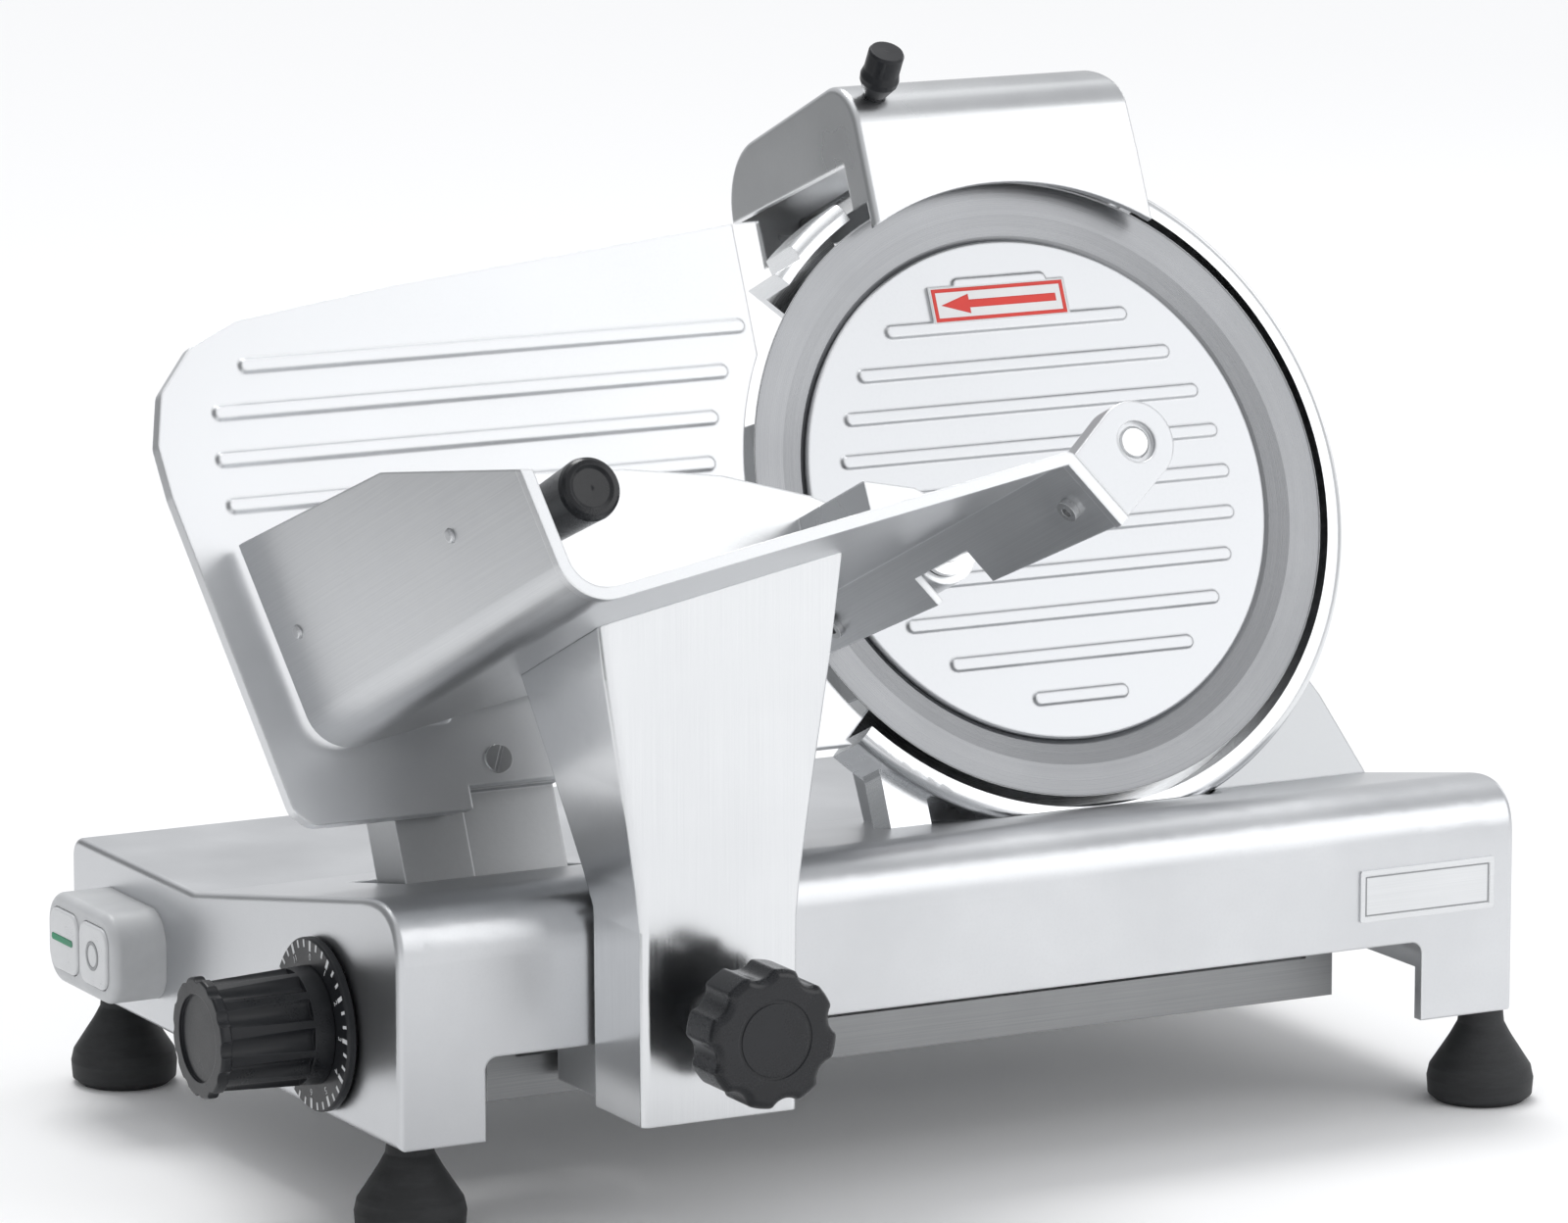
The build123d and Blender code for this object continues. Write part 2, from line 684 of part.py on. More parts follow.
def sector(r, a0, a1, n=48):
    """Pie slice from angle a0 to a1 (degrees, counter-clockwise)."""
    return [(0.0, 0.0)] + [
        (r * cos(radians(a0 + (a1 - a0) * k / n)), r * sin(radians(a0 + (a1 - a0) * k / n)))
        for k in range(n + 1)
    ]


with BuildPart() as guard_ring:
    with BuildSketch(disc(-25.9)):
        Circle(GUARD_R)
        Circle(65, mode=Mode.SUBTRACT)
    extrude(amount=3.9)
    with BuildSketch(disc(-22.1)):
        Circle(GUARD_R)
        Circle(BLADE_R + 4, mode=Mode.SUBTRACT)
    extrude(amount=21.1)
    ring_top = guard_ring.faces().filter_by(Plane(disc(0).origin, z_dir=disc(0).z_dir)).sort_by(
        Axis(disc(0).origin, disc(0).z_dir))[-1]
    fillet(ring_top.edges().sort_by(SortBy.LENGTH)[-1], radius=5)
    # slices leave on the left: no ring there
    with BuildSketch(disc(-27)):
        with BuildLine():
            gap = sector(170, 136, 223)
            Polyline(*gap, gap[0])
        make_face()
        Circle(72.5, mode=Mode.SUBTRACT)
    extrude(amount=28, mode=Mode.SUBTRACT)
    # wall removed under the sharpener
    with BuildSketch(disc(-21.9)):
        with BuildLine():
            gap = sector(170, 58, 118)
            Polyline(*gap, gap[0])
        make_face()
        Circle(100, mode=Mode.SUBTRACT)
    extrude(amount=23, mode=Mode.SUBTRACT)
    with BuildSketch(disc(-27)):
        with BuildLine():
            gap = sector(170, 58, 118)
            Polyline(*gap, gap[0])
        make_face()
        Circle(112, mode=Mode.SUBTRACT)
    extrude(amount=7, mode=Mode.SUBTRACT)
    # arrow-shaped notch in the top left end
    with BuildSketch(disc(-27)):
        with BuildLine():
            Polyline((-104, 92), (-86, 99.5), (-89, 112), (-112, 106), (-104, 92))
        make_face()
    extrude(amount=28, mode=Mode.SUBTRACT)
    # lower left foot of the guard, standing on the base
    with BuildSketch(disc(-24)):
        with BuildLine():
            Polyline((-92, -97), (-84, -106), (-72, -116), (-72, -150), (-90, -150), (-90, -106),
                     (-92, -97))
        make_face()
    extrude(amount=14)
    add(base_outer.part, mode=Mode.SUBTRACT)
guard_ring.part.label = "guard_ring"
export_step(guard_ring.part, "parts/guard_ring.step")

with BuildPart() as slice_deflector:
    with BuildSketch(upblade(-70)):
        with BuildLine():
            Polyline((-76, 30), (-80, 44), (-90, 60), (-106, 74), (-107.6, 72), (-92, 58.6),
                     (-82, 43.2), (-78, 30), (-76, 30))
        make_face()
    extrude(amount=118)
    with BuildSketch(disc(-46)):
        with Locations((-74.5, -15)):
            Rectangle(5, 30)
    extrude(amount=4)
slice_deflector.part.label = "slice_deflector"
export_step(slice_deflector.part, "parts/slice_deflector.step")

# ---------------------------------------------------------------- motor and belt
with BuildPart() as motor_body:
    with BuildSketch(disc(-153)):
        with Locations((MOT_X, MOT_P)):
            Circle(33)
    extrude(amount=72)
    fillet(motor_body.edges().filter_by(GeomType.CIRCLE), radius=3)
    with BuildSketch(disc(-81.5)):
        with Locations((MOT_X, MOT_P)):
            Circle(16.8)
    extrude(amount=14)
    with BuildSketch(disc(-81.5)):
        with Locations((MOT_X, MOT_P)):
            Circle(32)
    extrude(amount=9.4)
    with BuildSketch(disc(-150)):
        with Locations((MOT_X, MOT_P)):
            Circle(8.2)
            with PolarLocations(25, 4, start_angle=45):
                Circle(2.0)
    extrude(amount=90, mode=Mode.SUBTRACT)
motor_body.part.label = "motor_body"
export_step(motor_body.part, "parts/motor_body.step")

with BuildPart() as machine_screws:
    # bottom cover
    with BuildSketch(level(64.6)):
        with Locations(*COVER_POSTS):
            Circle(4)
    extrude(amount=2.35)
    with BuildSketch(level(66.9)):
        with Locations(*COVER_POSTS):
            Circle(2)
    extrude(amount=11)
    # guide rail
    with BuildSketch(front(50)):
        with Locations((66, 76), (424, 76)):
            Circle(4)
    extrude(amount=2.2)
    with BuildSketch(front(50.1)):
        with Locations((66, 76), (424, 76)):
            Circle(2)
    extrude(amount=-11)
    # motor flange
    with BuildSketch(disc(-66.95)):
        with Locations((MOT_X, MOT_P)):
            with PolarLocations(25, 4, start_angle=45):
                Circle(3.6)
    extrude(amount=3)
    with BuildSketch(disc(-84)):
        with Locations((MOT_X, MOT_P)):
            with PolarLocations(25, 4, start_angle=45):
                Circle(1.95)
    extrude(amount=17.1)
machine_screws.part.label = "machine_screws"
export_step(machine_screws.part, "parts/machine_screws.step")

with BuildPart() as motor_shaft:
    with BuildSketch(disc(-148)):
        with Locations((MOT_X, MOT_P)):
            Circle(8.15)
    extrude(amount=78)
    with BuildSketch(disc(-70.5)):
        with Locations((MOT_X, MOT_P)):
            Circle(5)
    extrude(amount=39.2)
motor_shaft.part.label = "motor_shaft"
export_step(motor_shaft.part, "parts/motor_shaft.step")

MP_R = 14.0
with BuildPart() as motor_pulley:
    with BuildSketch(disc(-49)):
        with Locations((MOT_X, MOT_P)):
            Circle(MP_R)
            Circle(5.02, mode=Mode.SUBTRACT)
    extrude(amount=17.4)
    for o0 in (-49, -33):
        with BuildSketch(disc(o0)):
            with Locations((MOT_X, MOT_P)):
                Circle(MP_R + 1.5)
                Circle(5.02, mode=Mode.SUBTRACT)
        extrude(amount=1.4)
motor_pulley.part.label = "motor_pulley"
export_step(motor_pulley.part, "parts/motor_pulley.step")

with BuildPart() as drive_belt:
    with BuildSketch(disc(-47.2)):
        Circle(PUL_R + 3.3)
        with Locations((MOT_X, MOT_P)):
            Circle(MP_R + 3.3)
        make_hull()
        with BuildSketch(disc(-47.2), mode=Mode.SUBTRACT):
            Circle(PUL_R + 0.3)
            with Locations((MOT_X, MOT_P)):
                Circle(MP_R + 0.3)
            make_hull()
    extrude(amount=13.8)
drive_belt.part.label = "drive_belt"
export_step(drive_belt.part, "parts/drive_belt.step")

with BuildPart() as motor_cover:
    with BuildSketch(disc(-166)):
        with Locations((MOT_X, MOT_P)):
            Circle(44)
        with Locations((MOT_X, MOT_P - 50)):
            Rectangle(88, 100)
    extrude(amount=93.9)
    fillet(motor_cover.edges().filter_by(GeomType.CIRCLE).sort_by(Axis(disc(0).origin, disc(0).z_dir))[0], radius=6)
    with BuildSketch(disc(-163)):
        with Locations((MOT_X, MOT_P)):
            Circle(41)
        with Locations((MOT_X, MOT_P - 50)):
            Rectangle(82, 100)
    extrude(amount=100, mode=Mode.SUBTRACT)
    with BuildSketch(disc(-168)):
        with Locations((MOT_X, MOT_P + 14)):
            with GridLocations(9, 0, 7, 1):
                SlotOverall(34, 3.4, rotation=90)
    extrude(amount=8, mode=Mode.SUBTRACT)
    with BuildSketch(level(0)):
        with Locations((BX, BY + 30)):
            Rectangle(500, 500)
    extrude(amount=REAR_Z, mode=Mode.SUBTRACT)
    add(base_outer.part, mode=Mode.SUBTRACT)
motor_cover.part.label = "motor_cover"
export_step(motor_cover.part, "parts/motor_cover.step")

# --------------------------------------------------------------------- sharpener
# the clamp knob stands square to the rounded front top edge of the hood
KN_A, KN_B = 0.797, 0.604
knob_plane = Plane(origin=disc(-8 + 20 * KN_A, -44, 149.3 + 20 * KN_B).origin, x_dir=(1, 0, 0),
                   z_dir=(0, -KN_A * CS + KN_B * SN, KN_A * SN + KN_B * CS))

with BuildPart() as hood_core:
    with BuildSketch(section(63)) as core_line:
        with BuildLine():
            Polyline((9, 90), (9, 166.3), (-103, 166.3), (-103, 90), (9, 90))
        make_face()
        fillet(core_line.vertices().group_by(Axis.Y)[-1].sort_by(Axis.X)[-1], radius=17)
        fillet(core_line.vertices().group_by(Axis.Y)[-1].sort_by(Axis.X)[0], radius=25)
    extrude(amount=117)
    with BuildSketch(disc(-115)) as core_trim:
        with BuildLine():
            Polyline((-54, 80), (-54, 172), (62, 172), (63.5, 130), (63.5, 80), (-54, 80))
        make_face()
        fillet(core_trim.vertices().group_by(Axis.Y)[-1].sort_by(Axis.X)[-1], radius=22)
    extrude(amount=140, mode=Mode.INTERSECT)

with BuildPart() as sharpener_housing:
    with BuildSketch(section(70)) as hood_line:
        with BuildLine():
            Polyline((12, 100), (12, 169.3), (-106, 169.3), (-106, 100), (12, 100))
        make_face()
        fillet(hood_line.vertices().group_by(Axis.Y)[-1].sort_by(Axis.X)[-1], radius=20)
        fillet(hood_line.vertices().group_by(Axis.Y)[-1].sort_by(Axis.X)[0], radius=28)
    extrude(amount=130)
    with BuildSketch(disc(-115)) as trim:
        with BuildLine():
            Polyline((-57, 80), (-57, 175), (65, 175), (66.5, 130), (66.8, 80), (-57, 80))
        make_face()
        fillet(trim.vertices().group_by(Axis.Y)[-1].sort_by(Axis.X)[-1], radius=25)
    extrude(amount=140, mode=Mode.INTERSECT)
    fillet(sharpener_housing.edges().filter_by(lambda e: e.center().X < BX - CX - 56.9 and e.center().Z > 330),
           radius=2.5)
    add(hood_core.part, mode=Mode.SUBTRACT)
    # bottom follows the blade; the front skirt covers the blade's edge
    with BuildSketch(disc(-125)):
        Circle(131)
    extrude(amount=133.5, mode=Mode.SUBTRACT)
    with BuildSketch(disc(8)):
        Circle(121.5)
    extrude(amount=20, mode=Mode.SUBTRACT)
    # the left wall stops short, except for the front strip
    with BuildSketch(section(-46)):
        with BuildLine():
            Polyline((-125, 80), (-4, 80), (-4, 137), (-125, 143.5), (-125, 80))
        make_face()
    extrude(amount=20, mode=Mode.SUBTRACT)
    # inner boss that slides on the post
    with BuildSketch(upblade(136)):
        with Locations((0, 58)):
            Circle(12)
    extrude(amount=31.5)
    with BuildSketch(upblade(100)):
        with Locations((0, 58)):
            Circle(7.06)
    extrude(amount=53, mode=Mode.SUBTRACT)
    # shaft guides in the rear wall
    with BuildSketch(disc(-108)):
        with Locations((-24, 138), (24, 133.4)):
            Circle(4.06)
    extrude(amount=8, mode=Mode.SUBTRACT)
    # knob seat
    with BuildSketch(knob_plane.offset(-12)):
        Circle(4.06)
    extrude(amount=16, mode=Mode.SUBTRACT)
sharpener_housing.part.label = "sharpener_housing"
export_step(sharpener_housing.part, "parts/sharpener_housing.step")

with BuildPart() as sharpener_post:
    with BuildSketch(upblade(72.2)):
        with Locations((0, 58)):
            Circle(7)
    extrude(amount=80)
    chamfer(sharpener_post.edges().filter_by(GeomType.CIRCLE), length=1)
sharpener_post.part.label = "sharpener_post"
export_step(sharpener_post.part, "parts/sharpener_post.step")

with BuildPart() as sharpener_knob:
    with BuildSketch(Plane(origin=knob_plane.origin, x_dir=(1, 0, 0),
                           z_dir=(0, -knob_plane.z_dir.Z, knob_plane.z_dir.Y))):
        with BuildLine():
            Polyline((0, -8), (4, -8), (4, 0.6), (4.8, 1.2), (7.6, 6.5), (7.9, 9), (7.2, 12),
                     (7.2, 20), (6.6, 21), (0, 21.2), (0, -8))
        make_face()
    revolve(axis=Axis(knob_plane.origin, knob_plane.z_dir))
sharpener_knob.part.label = "sharpener_knob"
export_step(sharpener_knob.part, "parts/sharpener_knob.step")

with BuildPart() as grinding_stone:
    with BuildSketch(disc(-13)):
        with Locations((-24, 138)):
            Circle(19)
            Circle(4.06, mode=Mode.SUBTRACT)
    extrude(amount=7)
    chamfer(grinding_stone.edges().filter_by(GeomType.CIRCLE), length=0.6)
grinding_stone.part.label = "grinding_stone"
export_step(grinding_stone.part, "parts/grinding_stone.step")

with BuildPart() as grinding_shaft:
    with BuildSketch(disc(-118)):
        with Locations((-24, 138)):
            Circle(4)
    extrude(amount=114)
    for o0, hh in ((-5.6, 1.6), (-17, 3.6)):
        with BuildSketch(disc(o0)):
            with Locations((-24, 138)):
                Circle(6.5)
        extrude(amount=hh)
    with BuildSketch(disc(-122)):
        with Locations((-24, 138)):
            Circle(9)
    extrude(amount=10)
    fillet(grinding_shaft.edges().filter_by(GeomType.CIRCLE).sort_by(Axis(disc(0).origin, disc(0).z_dir))[0], radius=2)
grinding_shaft.part.label = "grinding_shaft"
export_step(grinding_shaft.part, "parts/grinding_shaft.step")

with BuildPart() as truing_stone:
    with BuildSketch(disc(2.6)):
        with Locations((24, 133.4)):
            Circle(11)
            Circle(4.06, mode=Mode.SUBTRACT)
    extrude(amount=2.6)
    chamfer(truing_stone.edges().filter_by(GeomType.CIRCLE).group_by(SortBy.RADIUS)[-1]
            .sort_by(Axis(disc(0).origin, disc(0).z_dir))[-1], length=0.8)
truing_stone.part.label = "truing_stone"
export_step(truing_stone.part, "parts/truing_stone.step")

with BuildPart() as truing_shaft:
    with BuildSketch(disc(-118)):
        with Locations((24, 133.4)):
            Circle(4)
    extrude(amount=124.5)
    with BuildSketch(disc(5.5)):
        with Locations((24, 133.4)):
            Circle(6)
    extrude(amount=1.4)
    with BuildSketch(disc(-1.6)):
        with Locations((24, 133.4)):
            Circle(5.5)
    extrude(amount=3.8)
    with BuildSketch(disc(-122)):
        with Locations((24, 133.4)):
            Circle(9)
    extrude(amount=10)
    fillet(truing_shaft.edges().filter_by(GeomType.CIRCLE).sort_by(Axis(disc(0).origin, disc(0).z_dir))[0], radius=2)
truing_shaft.part.label = "truing_shaft"
export_step(truing_shaft.part, "parts/truing_shaft.step")

# ---------------------------------------------------------------------- carriage
RISE = radians(TRAY_RISE)
FOLD2 = (TRAY_X + 207.5 * cos(RISE), TRAY_P + 207.5 * sin(RISE))     # right fold
LIP_DIR = (0.569, -0.822)                                            # right lip
LIP = 32.4
WALL_TOP = (-343.6, 5.7)
TRAY_SCREWS = [(72, -130), (116, -130), (72, -88), (116, -88)]   # along the floor, minus offset
FLOOR_N = (-sin(RISE), cos(RISE) * SN, cos(RISE) * CS)

WALL_A = atan2(WALL_TOP[0] - TRAY_X, WALL_TOP[1] - TRAY_P)
WALL_N = (-cos(WALL_A), sin(WALL_A) * SN, sin(WALL_A) * CS)
RIVET_X = TRAY_X + (-33.5 - TRAY_P) * (WALL_TOP[0] - TRAY_X) / (WALL_TOP[1] - TRAY_P)
RIVETS = [Plane(origin=disc(o, RIVET_X, -33.5).origin, x_dir=(0, -CS, SN), z_dir=WALL_N) for o in (24, 167)]

tray_line = [WALL_TOP, (TRAY_X, TRAY_P), FOLD2,
             (FOLD2[0] + LIP * LIP_DIR[0], FOLD2[1] + LIP * LIP_DIR[1])]
with BuildPart() as product_tray:
    with BuildSketch(disc(TRAY_BACK)):
        with BuildLine() as tl:
            FilletPolyline(*tray_line, radius=(14, 3.2))
            offset(amount=SHEET, side=Side.RIGHT)
        make_face()
    extrude(amount=TRAY_FRONT - TRAY_BACK)
    # bead along the operator's edge
    with BuildSketch(disc(TRAY_FRONT - 4)):
        with BuildLine() as tl2:
            FilletPolyline(*tray_line, radius=(14, 3.2))
            offset(amount=SHEET + 1.6, side=Side.RIGHT)
        make_face()
    extrude(amount=4)
    # top edge of the upright wall
    with BuildSketch(section(-310)):
        with BuildLine():
            Polyline((-20, 5.0), (8, 5.0), (134, -1.4), (TRAY_FRONT + 0.5, -28.5), (TRAY_FRONT + 9, -28.5),
                     (TRAY_FRONT + 9, 40), (-20, 40), (-20, 5.0))
        make_face()
    extrude(amount=60, mode=Mode.SUBTRACT)
    # the right lip tapers towards the blade and has a cut-out
    lip_o = disc(0, *FOLD2).origin
    lip_n = (-LIP_DIR[1], LIP_DIR[0] * SN, LIP_DIR[0] * CS)
    lip_plane = Plane(origin=lip_o, x_dir=(0, -CS, SN), z_dir=lip_n)
    # local x is the offset from the blade; local y runs down the lip
    with BuildSketch(lip_plane.offset(-9)):
        with BuildLine():
            Polyline((-5, 22), (TRAY_FRONT - 4, LIP - 0.1), (TRAY_FRONT - 4, 50), (-5, 50), (-5, 22))
        make_face()
        with BuildLine():
            Polyline((96, 13), (139, 13), (139, 50), (96, 50), (96, 13))
        make_face()
    extrude(amount=18, mode=Mode.SUBTRACT)
    # screw holes: lip to rod brackets, floor to arm
    with BuildSketch(lip_plane.offset(-9)):
        with Locations((216, 18), (26, 14)):
            Circle(2.6)
    extrude(amount=18, mode=Mode.SUBTRACT)
    with BuildSketch(Plane(origin=disc(0, TRAY_X, TRAY_P).origin, x_dir=(cos(RISE), sin(RISE) * SN, sin(RISE) * CS),
                           z_dir=FLOOR_N)):
        with Locations(*TRAY_SCREWS):
            Circle(2.6)
    extrude(amount=12, both=True, mode=Mode.SUBTRACT)
    # rivet holes in the upright wall
    for rp in RIVETS:
        with BuildSketch(rp.offset(-2)):
            Circle(1.66)
        extrude(amount=8, mode=Mode.SUBTRACT)
product_tray.part.label = "product_tray"
export_step(product_tray.part, "parts/product_tray.step")

with BuildPart() as wall_rivets:
    for rp in RIVETS:
        with BuildSketch(rp.offset(-0.9)):
            Circle(1.6)
        extrude(amount=4.6)
        with BuildSketch(rp.offset(3.02)):
            Circle(2.9)
        extrude(amount=1.2, taper=30)
        with BuildSketch(rp.offset(-1.0)):
            Circle(2.9)
        extrude(amount=0.98)
wall_rivets.part.label = "wall_rivets"
export_step(wall_rivets.part, "parts/wall_rivets.step")

# ---------------------------------------------------------------- carriage arm
ARM_X = 110.6
ARM_HALF = [(32.0, 46.0), (32.4, 119), (34, 135), (39.6, 173), (46.2, 214), (52.5, 262), (58.0, 300)]


def arm_outline(inset):
    right = [(ARM_X + h - inset, z) for h, z in ARM_HALF]
    left = [(ARM_X - h + inset, z) for h, z in reversed(ARM_HALF)]
    pts = right + left
    return pts + [pts[0]]


FOLDO = disc(0, TRAY_X, TRAY_P).origin
under = Plane(origin=FOLDO, x_dir=(1, 0, 0), z_dir=FLOOR_N)
with BuildPart() as carriage_arm:
    with BuildSketch(front(60)):
        with BuildLine():
            Polyline(*arm_outline(0))
        make_face()
    extrude(amount=102)
    with BuildSketch(side(20)):
        with BuildLine():
            Polyline((-42, 36), (-42, 320), (82, 320), (-3, 122), (-3, 36), (-42, 36))
        make_face()
    extrude(amount=200, mode=Mode.INTERSECT)
    split(bisect_by=under.offset(-SHEET - 0.02), keep=Keep.BOTTOM)
    vert = carriage_arm.edges().filter_by(lambda e: abs(e.center().Y + 42 + CY) < 0.3 and abs(e.tangent_at(0.5).Z) > 0.8)
    fillet(vert, radius=3)
with BuildPart() as arm_core:
    with BuildSketch(front(90)):
        with BuildLine():
            Polyline(*arm_outline(5))
        make_face()
    extrude(amount=127)
    with BuildSketch(front(90)):
        with Locations((ARM_X, 38)):
            Rectangle(54, 20)
    extrude(amount=127)
    split(bisect_by=under.offset(-SHEET - 6), keep=Keep.BOTTOM)
with BuildPart() as carriage_arm2:
    add(carriage_arm.part)
    add(arm_core.part, mode=Mode.SUBTRACT)
    with BuildSketch(front(-30)):
        with Locations((ARM_X + 1, 84.3)):
            Circle(6.05)
    extrude(amount=14, mode=Mode.SUBTRACT)
    with BuildSketch(Plane(origin=disc(0, TRAY_X, TRAY_P).origin, x_dir=(cos(RISE), sin(RISE) * SN, sin(RISE) * CS),
                           z_dir=FLOOR_N).offset(-14)):
        with Locations(*TRAY_SCREWS):
            Circle(2.1)
    extrude(amount=14, mode=Mode.SUBTRACT)
carriage_arm2.part.label = "carriage_arm"
export_step(carriage_arm2.part, "parts/carriage_arm.step")

with BuildPart() as slide_block:
    with BuildSketch(side(86.6)):
        with BuildLine():
            Polyline((-36.9, 45), (44, 45), (44, 70), (57, 70), (57, 104), (24, 104), (18, 98), (18, 66),
                     (-6, 66), (-6, 100), (-36.9, 100), (-36.9, 45))
        make_face()
    extrude(amount=48)
    with BuildSketch(side(79)):
        with BuildLine():
            Polyline((57, 70), (57, 104), (24, 104), (18, 98), (18, 70), (57, 70))
        make_face()
    extrude(amount=63)
    fillet(slide_block.edges().filter_by(Axis.X).filter_by(lambda e: abs(e.center().Z - 66) < 0.1 and e.center().Y < -5 - CY), radius=4)
    with BuildSketch(side(78)):
        with Locations((ROD_Y, ROD_Z)):
            Circle(13.02)
    extrude(amount=65, mode=Mode.SUBTRACT)
    with BuildSketch(front(-5)):
        with Locations((ARM_X + 1, 84.3)):
            Circle(5.05)
    extrude(amount=33, mode=Mode.SUBTRACT)
    with BuildSketch(front(31)):
        with Locations((ARM_X, 61.4)):
            Circle(3.02)
    extrude(amount=-14, mode=Mode.SUBTRACT)
slide_block.part.label = "slide_block"
export_step(slide_block.part, "parts/slide_block.step")

with BuildPart() as slide_bushes:
    for x0, xf in ((79, 76.5), (122, 142)):
        with BuildSketch(side(x0)):
            with Locations((ROD_Y, ROD_Z)):
                Circle(13)
                Circle(ROD_R + 0.04, mode=Mode.SUBTRACT)
        extrude(amount=20)
        with BuildSketch(side(xf)):
            with Locations((ROD_Y, ROD_Z)):
                Circle(15.5)
                Circle(ROD_R + 0.04, mode=Mode.SUBTRACT)
        extrude(amount=2.5)
slide_bushes.part.label = "slide_bushes"
export_step(slide_bushes.part, "parts/slide_bushes.step")

with BuildPart() as roller_pin:
    with BuildSketch(front(32)):
        with Locations((ARM_X, 61.4)):
            Circle(3)
    extrude(amount=-26)
    with BuildSketch(front(56.4)):
        with Locations((ARM_X, 61.4)):
            Circle(4.6)
    extrude(amount=-1.6)
roller_pin.part.label = "roller_pin"
export_step(roller_pin.part, "parts/roller_pin.step")

with BuildPart() as guide_roller:
    with BuildSketch(front(56)):
        with Locations((ARM_X, 61.4)):
            Circle(7)
            Circle(3.04, mode=Mode.SUBTRACT)
    extrude(amount=8)
    chamfer(guide_roller.edges().filter_by(GeomType.CIRCLE).group_by(SortBy.RADIUS)[-1], length=0.6)
guide_roller.part.label = "guide_roller"
export_step(guide_roller.part, "parts/guide_roller.step")

# ------------------------------------------------------------- carriage knob set
KN_X, KN_Z = ARM_X + 1, 84.3
with BuildPart() as carriage_knob:
    with BuildSketch(front(-61)) as star:
        with Locations((KN_X, KN_Z)):
            Circle(26)
            with PolarLocations(30.6, 8, start_angle=11):
                Circle(7.4, mode=Mode.SUBTRACT)
        fillet(star.vertices(), radius=2.2)
    extrude(amount=22)
    fillet(carriage_knob.faces().filter_by(Axis.Y).sort_by(Axis.Y)[0].edges(), radius=3.2)
    fillet(carriage_knob.faces().filter_by(Axis.Y).sort_by(Axis.Y)[-1].edges(), radius=2)
    with BuildSketch(front(-82.5)):
        with Locations((KN_X, KN_Z)):
            Circle(15)
            Circle(13.6, mode=Mode.SUBTRACT)
    extrude(amount=2, mode=Mode.SUBTRACT)
    with BuildSketch(front(-51)):
        with Locations((KN_X, KN_Z)):
            Circle(11)
    extrude(amount=10.5)
    with BuildSketch(front(-50)):
        with Locations((KN_X, KN_Z)):
            Circle(5.02)
    extrude(amount=26, mode=Mode.SUBTRACT)
carriage_knob.part.label = "carriage_knob"
export_step(carriage_knob.part, "parts/carriage_knob.step")

with BuildPart() as knob_stud:
    with BuildSketch(front(-8)):
        with Locations((KN_X, KN_Z)):
            Circle(5)
    extrude(amount=67)
    with BuildSketch(front(-42.4)):
        with Locations((KN_X, KN_Z)):
            Circle(9)
    extrude(amount=8.3)
    fillet(knob_stud.edges().filter_by(GeomType.CIRCLE).group_by(SortBy.RADIUS)[-1], radius=1.5)
knob_stud.part.label = "knob_stud"
export_step(knob_stud.part, "parts/knob_stud.step")

# ----------------------------------------------------------- pusher rod and arm


def lip_pt(q, h):
    """Point at distance q down the lip from the fold and h out from its face."""
    return (FOLD2[0] + q * LIP_DIR[0] + h * 0.822, FOLD2[1] + q * LIP_DIR[1] + h * 0.569)


with BuildPart() as rod_brackets:
    for fore, o0, th, foot0, footl, rr in ((True, 226, 12, 202, 30, 15.2), (False, 8, 9, 14, 24, 12)):
        q1 = 31.5 if fore else 21
        with BuildSketch(disc(o0)):
            with BuildLine():
                Polyline(lip_pt(2, 0.05), lip_pt(q1, 0.05), lip_pt(q1, 3), lip_pt(2, 3), lip_pt(2, 0.05))
            make_face()
            with Locations((PROD_X, PROD_P)):
                Circle(rr)
            make_hull()
        extrude(amount=th)
        with BuildSketch(disc(foot0)):
            with BuildLine():
                Polyline(lip_pt(3, 0.05), lip_pt(q1, 0.05), lip_pt(q1, 4), lip_pt(3, 4), lip_pt(3, 0.05))
            make_face()
        extrude(amount=footl)
        with BuildSketch(disc(o0 - 1)):
            with Locations((PROD_X, PROD_P)):
                Circle(6.02)
        extrude(amount=th + 2, mode=Mode.SUBTRACT)
        if fore:
            with BuildSketch(disc(o0 + th - 2)):
                with Locations((PROD_X, PROD_P)):
                    Circle(7.8)
            extrude(amount=3, mode=Mode.SUBTRACT)
        with BuildSketch(lip_plane.offset(-2)):
            with Locations((216, 18) if fore else (26, 14)):
                Circle(2.1)
        extrude(amount=9, mode=Mode.SUBTRACT)
rod_brackets.part.label = "rod_brackets"
export_step(rod_brackets.part, "parts/rod_brackets.step")

with BuildPart() as carriage_screws:
    with BuildSketch(Plane(origin=disc(0, TRAY_X, TRAY_P).origin, x_dir=(cos(RISE), sin(RISE) * SN, sin(RISE) * CS),
                           z_dir=FLOOR_N).offset(-13)):
        with Locations(*TRAY_SCREWS):
            Circle(2.0)
    extrude(amount=13.1)
    with BuildSketch(Plane(origin=disc(0, TRAY_X, TRAY_P).origin, x_dir=(cos(RISE), sin(RISE) * SN, sin(RISE) * CS),
                           z_dir=FLOOR_N).offset(0.03)):
        with Locations(*TRAY_SCREWS):
            Circle(4.2)
    extrude(amount=1.6, taper=20)
    for yy, zz in ((216, 18), (26, 14)):
        with BuildSketch(lip_plane.offset(-SHEET - 2.6)):
            with Locations((yy, zz)):
                Circle(4.4)
                RegularPolygon(2.2, 6, mode=Mode.SUBTRACT)
        extrude(amount=2.55)
        with BuildSketch(lip_plane.offset(-SHEET - 0.6)):
            with Locations((yy, zz)):
                Circle(2.0)
        extrude(amount=8.4)
